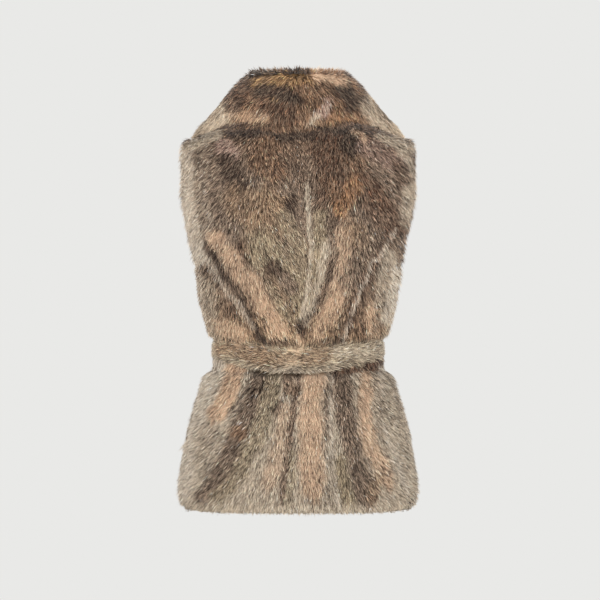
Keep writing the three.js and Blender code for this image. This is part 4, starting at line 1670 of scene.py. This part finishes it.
@dataclass
class CollarHalf(FurPart):
    """Half of the shawl collar: its stand, its roll, its fall over the back and its lapel."""

    wall: float = 14.0
    tip_wall: float = 7.0
    stand_wall: float = 6.0
    stand_height: float = 52.0
    stand_gap: float = 0.5
    clearance: float = 1.6
    bulge: float = 5.0
    roll_column: int = 4
    last_column: int = 14
    round_stations: int = 10
    shoulder_stations: int = 6
    lapel_stations: int = 14
    tousled: float = 70.0  # degrees by which the tufts on the roll stray
    wander: tuple[float, float] = (22.0, 14.0)  # degrees, broadly and finely
    lean: tuple[float, float] = (6.0, 40.0)  # degrees at the back and on the lapel
    lapel: tuple[float, float] = (0.42, 0.62)  # the shares of the half where it starts
    stand_density: float = 0.45
    longest: float = 60.0
    at_edge: float = 17.0  # the longest strand at the free edge
    beside_neck: tuple[float, float] = (80.0, 118.0)  # X where the pile is pressed by the slope
    loft_used: tuple[float, float] = (0.85, 0.2)  # away from there and there
    crest_rise: float = 7.0
    tip_rise: float = 2.0

    def stations(self, finer: int) -> dict[str, Array]:
        """Where each station starts on the neckline and ends on the body.

        Args:
            finer: How finely the half is divided.

        Returns:
            The stations' values by name, from the middle of the back to the lapel's lower end.
        """
        round_count = self.round_stations * finer
        round_neck = np.arange(round_count) / round_count
        back_share = lerp(NECK_SHARE, 1, SHOULDER_REACH) * round_neck
        over = np.linspace(1, 0, self.shoulder_stations * finer, endpoint=False)
        height = np.linspace(YOKE_Z, LAPEL_END_Z, self.lapel_stations * finer + 1)
        rise = np.concatenate([1 + over, rise_of(height)])
        front_z = height_of(rise)
        shoulder = np.maximum(0, rise - 1)
        stand = lerp(LAPEL_STAND.at(front_z), self.stand_height, shoulder**1.4)
        ones = np.ones(round_count)

        def joined(back: Array, front: Array) -> Array:
            """The stations' values over the back, then over the front."""
            return np.concatenate([back, front])

        return {
            "back": joined(ones > 0, rise < 0),
            "from_share": joined(NECK_SHARE * round_neck, np.zeros_like(rise)),
            "from_rise": joined(2 * ones, rise),
            "to_share": joined(back_share, lerp(LAPEL_REACH.at(front_z), SHOULDER_REACH, shoulder)),
            "to_rise": joined(BACK_FALL.at(back_share), rise),
            "stand": joined(self.stand_height * ones, stand),
            "upright": joined(ones, smooth(shoulder, 0, 0.8)),
            "end_wall": joined(ones, lerp(0.5, 1, smooth(front_z, LAPEL_END_Z, -282))),
        }

    def underside(self, finer: int, columns: Array) -> tuple[Array, dict[str, Array]]:
        """The face of the collar that lies towards the body, in the +X half.

        Args:
            finer: How finely the half is divided round the neck.
            columns: The places from the neckline at 0 over the roll at 4 to the free edge at 14.

        Returns:
            The points by station and column, and the stations.
        """
        at = self.stations(finer)
        back, front = BodyForm(Side.BACK, self.hand), BodyForm(Side.FRONT, self.hand)

        def on_body(w: Array, layer: float) -> tuple[Array, Array]:
            """Places a share of the way from the neckline to the free edge.

            Args:
                w: Shares of the way, by station and column.
                layer: The body's layer, from 0 at the cloth to 1 at the fur's reach.

            Returns:
                Points and normals of the body there.
            """
            share = lerp(at["from_share"][:, None], at["to_share"][:, None], w)
            rise = lerp(at["from_rise"][:, None], at["to_rise"][:, None], w)
            points, normals = (
                np.where(at["back"][:, None, None], *values)
                for values in (
                    [form.point(share, rise, layer) for form in (back, front)],
                    [form.normal(share, rise) for form in (back, front)],
                )
            )
            return points, normals

        foot, first_normal = (values[:, 0] for values in on_body(np.zeros((1, 1)), 0))
        upright = at["upright"][:, None]
        up = unit(lerp(first_normal, UP, upright))
        away = on_body(np.full((1, 1), 0.12), 0)[0][:, 0] - foot
        step = 1 / 30
        top = np.full(len(foot), 2.0)
        ahead = back.point(at["from_share"] + step, top, 0)
        behind = back.point(np.maximum(0, at["from_share"] - step), top, 0)
        away = np.where(at["back"][:, None], np.cross(ahead - behind, UP), away)
        away[0, 0] = 0
        away = onto_surface(away, up)
        height = (PRESSED_WALL + at["stand"])[:, None]
        roll = foot + up * height + away * self.stand_gap
        roll_steps = ([0, 1, 2, 3, 4], [0, 0.35, 0.7, 0.93, 1])
        level = np.interp(columns, *roll_steps)[None, :, None]
        shift = np.interp(columns, [3, 4], [-self.stand_gap, self.stand_gap])[None, :, None]
        stand = foot[:, None] + up[:, None] * level * height[:, None] + away[:, None] * shift
        w = np.interp(columns, [self.roll_column, 5, self.last_column], [0, 0.07, 1])[None]
        laid, normals = on_body(w, 1)
        raised = (at["stand"][:, None] * (1 - w))[..., None]
        laid = laid + normals * self.clearance + up[:, None] * raised
        end, end_normal = on_body(np.ones((1, 1)), 1)
        end = end + end_normal * self.clearance
        hung = roll[:, None] + (end - roll[:, None]) * w[..., None]
        hung = hung + normals * (self.bulge * np.sin(w * np.pi))[..., None]
        fall = lerp(laid, hung, upright[:, None])
        points = np.where((columns < self.roll_column)[None, :, None], stand, fall)
        points[0, :, 0] = SEAM_GAP / 2
        return points, at

    def thickness(self, columns: Array) -> Array:
        """The wall by column: thin on the stand and towards the free edge."""
        wall = lerp(self.stand_wall, self.wall, smooth(columns, 3, 4.4))
        return wall - (self.wall - self.tip_wall) * smooth(columns, 11, self.last_column)

    def columns(self, stand: int, fall: int) -> Array:
        """Columns over the stand and over the fall.

        Args:
            stand: How many on the stand.
            fall: How many on the fall.

        Returns:
            Their places.
        """
        return np.concatenate([
            np.linspace(0, self.roll_column, stand, endpoint=False),
            np.linspace(self.roll_column, self.last_column, fall),
        ])

    def sheet(self, finer: int, columns: Array, layer: float) -> tuple[Array, Array, Array]:
        """A face of the collar at a layer of its wall.

        Args:
            finer: How finely the half is divided round the neck.
            columns: The places from the neckline to the free edge.
            layer: 0 for the underside and 1 for the tips of the pile.

        Returns:
            The points, the directions in which they face, and the wall's thickness there.
        """
        points, at = self.underside(finer, columns)
        normals = unit(np.cross(np.gradient(points, axis=1), np.gradient(points, axis=0)))
        normals[0, :, 0] = 0
        normals = unit(normals)
        wall = self.thickness(columns)[None] * at["end_wall"][:, None]
        return points + normals * (layer * wall)[..., None], normals, wall

    def cloth_grids(self) -> tuple[Array, Array]:
        """The inner and outer points of the cloth, by row and column."""
        columns = self.columns(7, 19)
        inner, outer = (self.sheet(2, columns, layer)[0] for layer in (0, self.ground_layer))
        return inner, outer

    def tufts(self, count: int, rng: np.random.Generator) -> Tufts:
        """Chooses places for tufts, fewer of them on the stand.

        Args:
            count: How many tufts.
            rng: The source of chance.

        Returns:
            The tufts, without their colour.
        """
        columns = self.columns(10, 41)
        points, facing, wall = self.sheet(4, columns, self.ground_layer)
        station = np.broadcast_to(np.linspace(0, 1, len(points))[:, None], wall.shape)
        column = np.broadcast_to(columns[None], wall.shape)
        surface = Surface(self.mirrored(points), self.mirrored(facing), station, column)
        density = lerp(self.stand_density, 1, smooth(column, 2, self.roll_column))
        place = surface.scatter(count, density, rng)
        brushed = self.brush(place)
        column = place.rise
        to_roll = 10 + self.stand_height * np.clip(1 - column / self.roll_column, 0, 1)
        room = lerp(14, self.longest, smooth(column, self.roll_column, 7))
        room = np.where(column < self.roll_column, to_roll, room)
        to_edge = lerp(self.longest, self.at_edge, smooth(column, 12, self.last_column))
        x, height = np.abs(place.points[:, 0]), place.points[:, 2]
        pressed = smooth(x, *self.beside_neck) * smooth(height, -8, 8)
        pressed = pressed * (1 - smooth(height, 52, 68))
        crest = smooth(place.normals[:, 2], 0.5, 0.9) * smooth(height, 50, 66)
        fanned = self.crest_rise * crest * (1 - smooth(x, 56, 84))
        fanned = fanned + self.tip_rise * smooth(x, 126, 148)
        loft = self.thickness(column) * (1 - self.ground_layer) * lerp(*self.loft_used, pressed)
        return Tufts(
            place.points, place.normals, brushed, loft + fanned, np.minimum(room, to_edge),
            place.curving(brushed),
        )

    def brush(self, place: Places) -> Array:
        """Brushes the pile outwards and down, tousled on the roll and slanting on the lapel.

        Args:
            place: The places.

        Returns:
            The brushed directions.
        """
        broad, fine = self.wander
        wander = SoftNoise(24, self.seed + 5).at(place.points) * broad
        tousled = self.tousled * (1 - smooth(np.abs(place.rise - self.roll_column), 0.3, 1.4))
        wander += (fine + tousled) * SoftNoise(9, self.seed + 6).at(place.points)
        lean = np.radians(lerp(*self.lean, smooth(place.share, *self.lapel)) + wander)[:, None]
        brushed = place.across * np.cos(lean) + place.down * np.sin(lean)
        return onto_surface(brushed, place.normals)


@dataclass
class Belt(FurPart):
    """The belt: one strip once round the waist, its ends lying over each other at the front."""

    height: float = 40.0
    wall: float = 14.0
    edge_thinning: float = 0.45
    gap: float = 0.5
    half_width: float = 121.0
    start_x: float = 40.0
    end_x: float = -52.0
    lift_span: float = 0.09
    past_edge: float = 2.5  # how far the pile reaches over the belt's edges
    longest: float = 22.0
    sideways: tuple[float, float] = (0.45, 0.4)  # how the pile strays, broadly and finely
    outward: tuple[float, float] = (0.4, 1.1)  # how it is brushed over the top and the low edge
    loft_used: float = 0.8
    low_rise: float = 3.0

    def ends(self) -> tuple[float, float]:
        """The travel of both ends, where 0 is the middle of the front and 1 is once round."""
        start, end = (
            float(np.arcsin((abs(x) / self.half_width) ** (1 / ROUNDING)) / (2 * np.pi))
            for x in (self.start_x, self.end_x)
        )
        return -start, 1 + end

    def thickness(self, across: Array) -> Array:
        """The wall's thickness, less towards the belt's edges."""
        return self.wall * (1 - self.edge_thinning * np.abs(2 * across - 1) ** 3)

    def point(self, travel: Array, across: Array, layer: float) -> tuple[Array, Array]:
        """Points of the belt.

        Args:
            travel: The way round from the middle of the front.
            across: The way up the belt's height.
            layer: 0 for its inner face and 1 for the tips of its pile.

        Returns:
            The points and the directions in which they face.
        """
        start, end = self.ends()
        turn = travel * 2 * np.pi
        hand = np.where(np.sin(turn) < 0, -1.0, 1.0)
        share = np.arcsin(np.clip(np.abs(np.sin(turn)), 0, 1)) / (np.pi / 2)
        z = BELT_Z + (across - 0.5) * self.height
        behind = (np.cos(turn) < 0)[..., None]
        back, front = BodyForm(Side.BACK, 1), BodyForm(Side.FRONT, 1)
        base = np.where(behind, back.ring(share, z), front.ring(share, z))
        rise = rise_of(z)
        normal = np.where(behind, back.normal(share, rise), front.normal(share, rise))
        climb = travel - end + (end - 1 - start) + self.lift_span
        lift = smooth(climb, 0, self.lift_span) * (self.wall + self.gap)
        out = PRESSED_WALL + self.gap + lift + layer * self.thickness(across)
        mirror = np.stack([hand, np.ones_like(hand), np.ones_like(hand)], axis=-1)
        return (base + normal * out[..., None]) * mirror, normal * mirror

    def places(self, stations: int, columns: int) -> tuple[Array, Array]:
        """An even grid of travels and heights."""
        travels = np.linspace(*self.ends(), stations)
        return np.meshgrid(travels, np.linspace(0, 1, columns), indexing="ij")

    def cloth_grids(self) -> tuple[Array, Array]:
        """The inner and outer points of the cloth, by row and column."""
        travel, across = self.places(120, 9)
        inner, outer = (self.point(travel, across, layer)[0] for layer in (0, self.ground_layer))
        return inner, outer

    def tufts(self, count: int, rng: np.random.Generator) -> Tufts:
        """Chooses places for tufts, all brushed along the belt from the middle of the back.

        Args:
            count: How many tufts.
            rng: The source of chance.

        Returns:
            The tufts, without their colour.
        """
        travel, across = self.places(240, 15)
        points, facing = self.point(travel, across, self.ground_layer)
        lap = lapped(points[..., 0], (0.5 - across) * self.height - 4)
        place = Surface(points, facing, travel, across).scatter(count, 1 - lap, rng)
        sideways = self.sideways[0] * SoftNoise(30, self.seed).at(place.points)
        sideways += self.sideways[1] * SoftNoise(11, self.seed + 1).at(place.points)
        over, under = self.outward
        outward = over * smooth(place.rise, 0.6, 1) - under * (1 - smooth(place.rise, 0, 0.35))
        onward = np.where(place.share + rng.normal(0, 0.012, count) > 0.5, 1.0, -1.0)[:, None]
        brushed = place.down * onward + place.across * (sideways + outward)[:, None]
        brushed = onto_surface(brushed, place.normals)
        to_edge = (0.5 - np.abs(place.rise - 0.5)) * self.height + self.past_edge
        room = np.minimum(self.longest, to_edge / np.maximum(0.12, np.abs(brushed[:, 2])))
        loft = self.thickness(place.rise) * (1 - self.ground_layer) * self.loft_used
        loft = loft + self.low_rise * (1 - smooth(place.rise, 0.1, 0.35))
        return Tufts(place.points, place.normals, brushed, loft, room, place.curving(brushed))


@dataclass(frozen=True)
class Studio:
    """The pale floor, the even light and the camera."""

    backdrop: tuple[int, int, int] = (233, 233, 231)
    floor_colour: tuple[float, float, float] = (0.8, 0.8, 0.79)
    lens: float = 193.5
    sensor: float = 36.0
    camera_at: tuple[float, float, float] = (0.003, -5.0, -0.279)
    vest_middle: tuple[float, float, float] = (0.0, 0.0, -0.28)
    floor_z: float = -0.95
    floor_radius: float = 3.2
    floor_sides: int = 96
    floor_fade: tuple[float, float] = (1.1, 2.4)  # metres from the middle

    def build(self) -> None:
        """Makes the whole studio."""
        self.build_world()
        self.build_floor()
        self.build_light("key", (-1.9, -2.9, 0.9), 2.2, 46)
        self.build_light("fill", (2.0, -2.8, 0.6), 2.4, 40)
        self.build_light("rear", (0.3, 3.0, 1.8), 2.6, 40)
        camera = bpy.data.objects.new("camera", bpy.data.cameras.new("camera"))
        camera.data.lens = self.lens
        camera.data.sensor_width = self.sensor
        camera.data.clip_end = 60
        camera.location = self.camera_at
        camera.rotation_euler = (np.pi / 2, 0, 0)
        bpy.context.scene.collection.objects.link(camera)
        bpy.context.scene.camera = camera
        bpy.context.scene.view_settings.view_transform = "Standard"

    def build_world(self) -> None:
        """Makes the even backdrop that also lights the vest from all sides."""
        world = bpy.data.worlds.new("studio")
        world.use_nodes = True
        backdrop = world.node_tree.nodes["Background"]
        backdrop.inputs["Color"].default_value = (*to_linear(self.backdrop), 1)
        backdrop.inputs["Strength"].default_value = 1
        bpy.context.scene.world = world

    def build_light(
        self, name: str, place: tuple[float, float, float], size: float, power: float,
    ) -> None:
        """Makes one soft square light that faces the vest.

        Args:
            name: The light's name.
            place: Where it hangs, in metres.
            size: Its side.
            power: Its power in watts.
        """
        lamp = bpy.data.lights.new(name, "AREA")
        lamp.size = size
        lamp.energy = power
        light = bpy.data.objects.new(name, lamp)
        light.location = place
        x, y, z = np.subtract(self.vest_middle, place)
        tilt, turn = np.arctan2(np.hypot(x, y), -z), np.arctan2(-x, y)
        light.rotation_euler = (float(tilt), 0, float(turn))
        bpy.context.scene.collection.objects.link(light)

    def build_floor(self) -> None:
        """Makes the plain pale floor, which fades into the backdrop at its rim."""
        around = np.arange(self.floor_sides)
        turn = np.linspace(0, 2 * np.pi, self.floor_sides + 1)[:-1]
        rim = np.stack([np.cos(turn), np.sin(turn), 0 * turn], axis=-1)
        points = np.concatenate([np.zeros((1, 3)), rim * self.floor_radius * METRE])
        points[:, 2] = self.floor_z * METRE
        after = (around + 1) % self.floor_sides
        floor = make_mesh("floor", points, np.stack([0 * around, around + 1, after + 1], axis=-1))
        recipe = Recipe("pale_floor")
        shader = recipe.set(recipe.shader, {
            "Roughness": 0.9, "Base Color": (*self.floor_colour, 1),
        })
        colour = (*to_linear(self.backdrop), 1)
        glow = recipe.add("Emission", {"Color": colour}, "Emission")
        distance = recipe.add("VectorMath", {0: recipe.place()}, "Value", operation="LENGTH")
        near, far = self.floor_fade
        fade = recipe.add(
            "MapRange", {"From Min": near, "From Max": far, "Value": distance}, "Result",
        )
        blend = recipe.add(
            "MixShader", {"Fac": fade, 1: shader.outputs["BSDF"], 2: glow}, "Shader",
        )
        recipe.set(recipe.nodes["Material Output"], {"Surface": blend})
        floor.data.materials.append(recipe.material)


BACK_GROUND = (
    (-601, Dye.GREIGE), (-400, Dye.GREIGE), (-330, Dye.SAND), (-200, Dye.STONE),
    (-90, Dye.STONE), (10, Dye.CHESTNUT),
)
FRONT_GROUND = (
    (-601, Dye.GREIGE), (-400, Dye.GREIGE), (-300, Dye.SAND), (-90, Dye.STONE),
    (10, Dye.CHESTNUT),
)
COLLAR_GROUND = (
    (-330, Dye.GREIGE), (-200, Dye.SAND), (-20, Dye.SAND), (20, Dye.CHESTNUT), (70, Dye.CHESTNUT),
    (88, Dye.SAND),
)
BELT_GROUND = ((-400, Dye.GREIGE), (-330, Dye.GREIGE))

FRONT_STRIPES = stripes(
    (Dye.PALE, 15, 0.8, (-172, -50), (-168, -140), (-152, -220), (-140, -300)),
    (Dye.PALE, 14, 0.8, (172, -50), (168, -140), (152, -220), (140, -300)),
    (Dye.UMBER, 22, 0.6, (-112, -70), (-118, -140)),
    (Dye.CHESTNUT, 24, 0.6, (116, -60), (122, -150)),
    (Dye.PEACH, 17, 0.85, (-116, -180), (-92, -250), (-64, -335)),
    (Dye.PEACH, 16, 0.85, (112, -190), (86, -262), (60, -335)),
    # Darker along the creases: the fur's darker parting, with painted shade in their troughs
    (Dye.CHARCOAL, 5, 0.7, (-132, -200), (-104, -270), (-84, -334)),
    (Dye.CHARCOAL, 5, 0.7, (134, -210), (104, -280), (80, -334)),
    (Dye.OLIVE, 15, 0.7, (-70, -250), (-40, -330)),
    (Dye.OLIVE, 15, 0.7, (66, -255), (36, -330)),
    (Dye.PALE, 14, 0.8, (-130, -380), (-158, -480), (-176, -590)),
    (Dye.PALE, 14, 0.8, (130, -380), (160, -480), (176, -590)),
    (Dye.STONE, 17, 0.85, (-100, -385), (-118, -480), (-132, -590)),
    (Dye.STONE, 16, 0.85, (104, -385), (124, -480), (138, -590)),
    (Dye.PEACH, 17, 0.85, (-70, -385), (-82, -480), (-94, -590)),
    (Dye.PEACH, 16, 0.85, (74, -385), (88, -480), (98, -590)),
    (Dye.UMBER, 5, 0.8, (-50, -386), (-58, -480), (-66, -600)),
    (Dye.UMBER, 5, 0.8, (54, -386), (60, -480), (68, -600)),
    (Dye.OLIVE, 15, 0.75, (-30, -385), (-38, -600)),
    (Dye.OLIVE, 14, 0.75, (34, -385), (44, -600)),
    (Dye.CHESTNUT, 8, 0.6, (-6, -385), (-10, -600)),
    (Dye.CHESTNUT, 8, 0.6, (8, -385), (12, -600)),
)

BACK_BRUSHING = Brushing(tuple(
    Lean(*guide) for guide in (
        (-165, -60, -35), (-120, -60, -45), (-80, -50, -25), (-40, -60, 20), (-12, -90, 36),
        (16, -90, -25), (50, -50, -10), (80, -60, 10), (120, -60, 45), (165, -70, 40),
        (-165, -130, -38), (-120, -130, -40), (-80, -130, -15), (-40, -130, 25), (-8, -150, 30),
        (32, -150, -24), (80, -130, -5), (120, -130, 25), (165, -140, 35), (-150, -200, -30),
        (-110, -200, -5), (-70, -200, 25), (-30, -210, 38), (2, -210, 34), (34, -210, -22),
        (80, -200, -10), (120, -210, 25), (155, -210, 35), (-145, -270, -5), (-105, -270, 12),
        (-60, -270, 28), (-25, -270, 38), (0, -280, 32), (30, -280, -26), (80, -280, -12),
        (115, -280, 18), (150, -270, 30), (-135, -325, -5), (-90, -325, 10), (-50, -325, 22),
        (-15, -325, 35), (18, -325, -26), (50, -325, -15), (90, -325, -5), (125, -325, 15),
        (-125, -400, -28), (-80, -400, -20), (-40, -400, -10), (0, -400, -2), (40, -400, 2),
        (80, -400, 8), (120, -400, 25), (-150, -470, -38), (-100, -470, -32), (-60, -470, -20),
        (-20, -470, -6), (20, -470, 0), (60, -470, 5), (100, -470, 12), (140, -470, 35),
        (-165, -560, -38), (-110, -560, -32), (-60, -560, -18), (-20, -560, -6), (20, -560, 2),
        (60, -560, 8), (110, -560, 25), (160, -560, 38),
    )
))
FRONT_BRUSHING = Brushing(tuple(
    Lean(hand * x, z, hand * degrees)
    for x, z, degrees in (
        (160, -70, 35), (110, -120, 20), (150, -230, 15), (90, -250, -12), (40, -280, -5),
        (110, -320, -5), (20, -400, 4), (80, -400, 14), (30, -500, 6), (90, -500, 18),
        (150, -500, 34), (40, -590, 8), (110, -590, 24), (165, -590, 36),
    )
    for hand in (-1, 1)
), reach=46)

# Painted shade and painted light: what the dyes are multiplied by, by height. The skirt is darker
# towards the hem, where it faces the lamps more, the belt is darker all over like it, and the collar
# is paler at its top edge, which the lamps reach least
BODY_PAINTED_SHADE = Profile((
    (-601, 0.79), (-480, 0.82), (-385, 0.86), (-340, 0.97), (-200, 1.02), (-60, 0.97), (10, 0.97),
))
COLLAR_PAINTED_LIGHT = Profile(((-340, 1), (66, 1), (84, 1.4), (92, 2)))
BELT_PAINTED_SHADE = Profile(((-400, 0.82), (-330, 0.82)))

BACK_COLOURING = Colouring(BACK_GROUND, BACK_STRIPES, 0.2, 41, BODY_PAINTED_SHADE)
FRONT_COLOURING = Colouring(FRONT_GROUND, FRONT_STRIPES, 0.2, 47, BODY_PAINTED_SHADE)
COLLAR_COLOURING = Colouring(COLLAR_GROUND, COLLAR_STRIPES, 0.36, 53, COLLAR_PAINTED_LIGHT)
BELT_COLOURING = Colouring(BELT_GROUND, BELT_STRIPES, 0.22, 61, BELT_PAINTED_SHADE)
HANDS = {"left": -1, "right": 1}


def body_panels(finishes: Finishes) -> list[FurPart]:
    """The four quarters of the body.

    Args:
        finishes: The vest's materials.

    Returns:
        The back's two halves and the front's two.
    """
    kinds = (
        (Side.BACK, BACK_COLOURING, BACK_CUT, BACK_BRUSHING, 1.0),
        (Side.FRONT, FRONT_COLOURING, FRONT_CUT, FRONT_BRUSHING, 0.62),
    )
    return [
        BodyPanel(
            f"{side.name.lower()}_{name}", hand, finishes, colouring, "body_fur",
            seed=100 + hand + 10 * side.value, held="draped", rests_on=(), cut=cut,
            share_of_strands=strands, side=side, brushing=brushing,
        )
        for side, colouring, cut, brushing, strands in kinds
        for name, hand in HANDS.items()
    ]


def collar_halves(finishes: Finishes) -> list[FurPart]:
    """The two halves of the shawl collar.

    Args:
        finishes: The vest's materials.

    Returns:
        The left and the right half.
    """
    return [
        CollarHalf(
            f"collar_{name}", hand, finishes, COLLAR_COLOURING, "collar_fur", seed=200 + hand,
            held="laid", rests_on=(f"back_{name}_cloth",), cut=COLLAR_CUT, share_of_strands=0.6,
        )
        for name, hand in HANDS.items()
    ]


def waist_belt(finishes: Finishes) -> FurPart:
    """The belt.

    Args:
        finishes: The vest's materials.

    Returns:
        The belt, stretched round the body's four quarters.
    """
    under = tuple(f"{side}_{name}_cloth" for side in ("back", "front") for name in HANDS)
    return Belt(
        "belt", 1, finishes, BELT_COLOURING, "belt_fur", seed=301, held="stretched",
        rests_on=under, cut=BELT_CUT, share_of_strands=0.35,
    )


def main() -> None:
    """Builds the studio, then the vest piece by piece."""
    logging.basicConfig(level=logging.INFO, format="%(name)s: %(message)s")
    Studio().build()
    finishes = Finishes.make()
    for part in [*body_panels(finishes), *collar_halves(finishes), waist_belt(finishes)]:
        part.build()


if __name__ == "__main__":
    main()
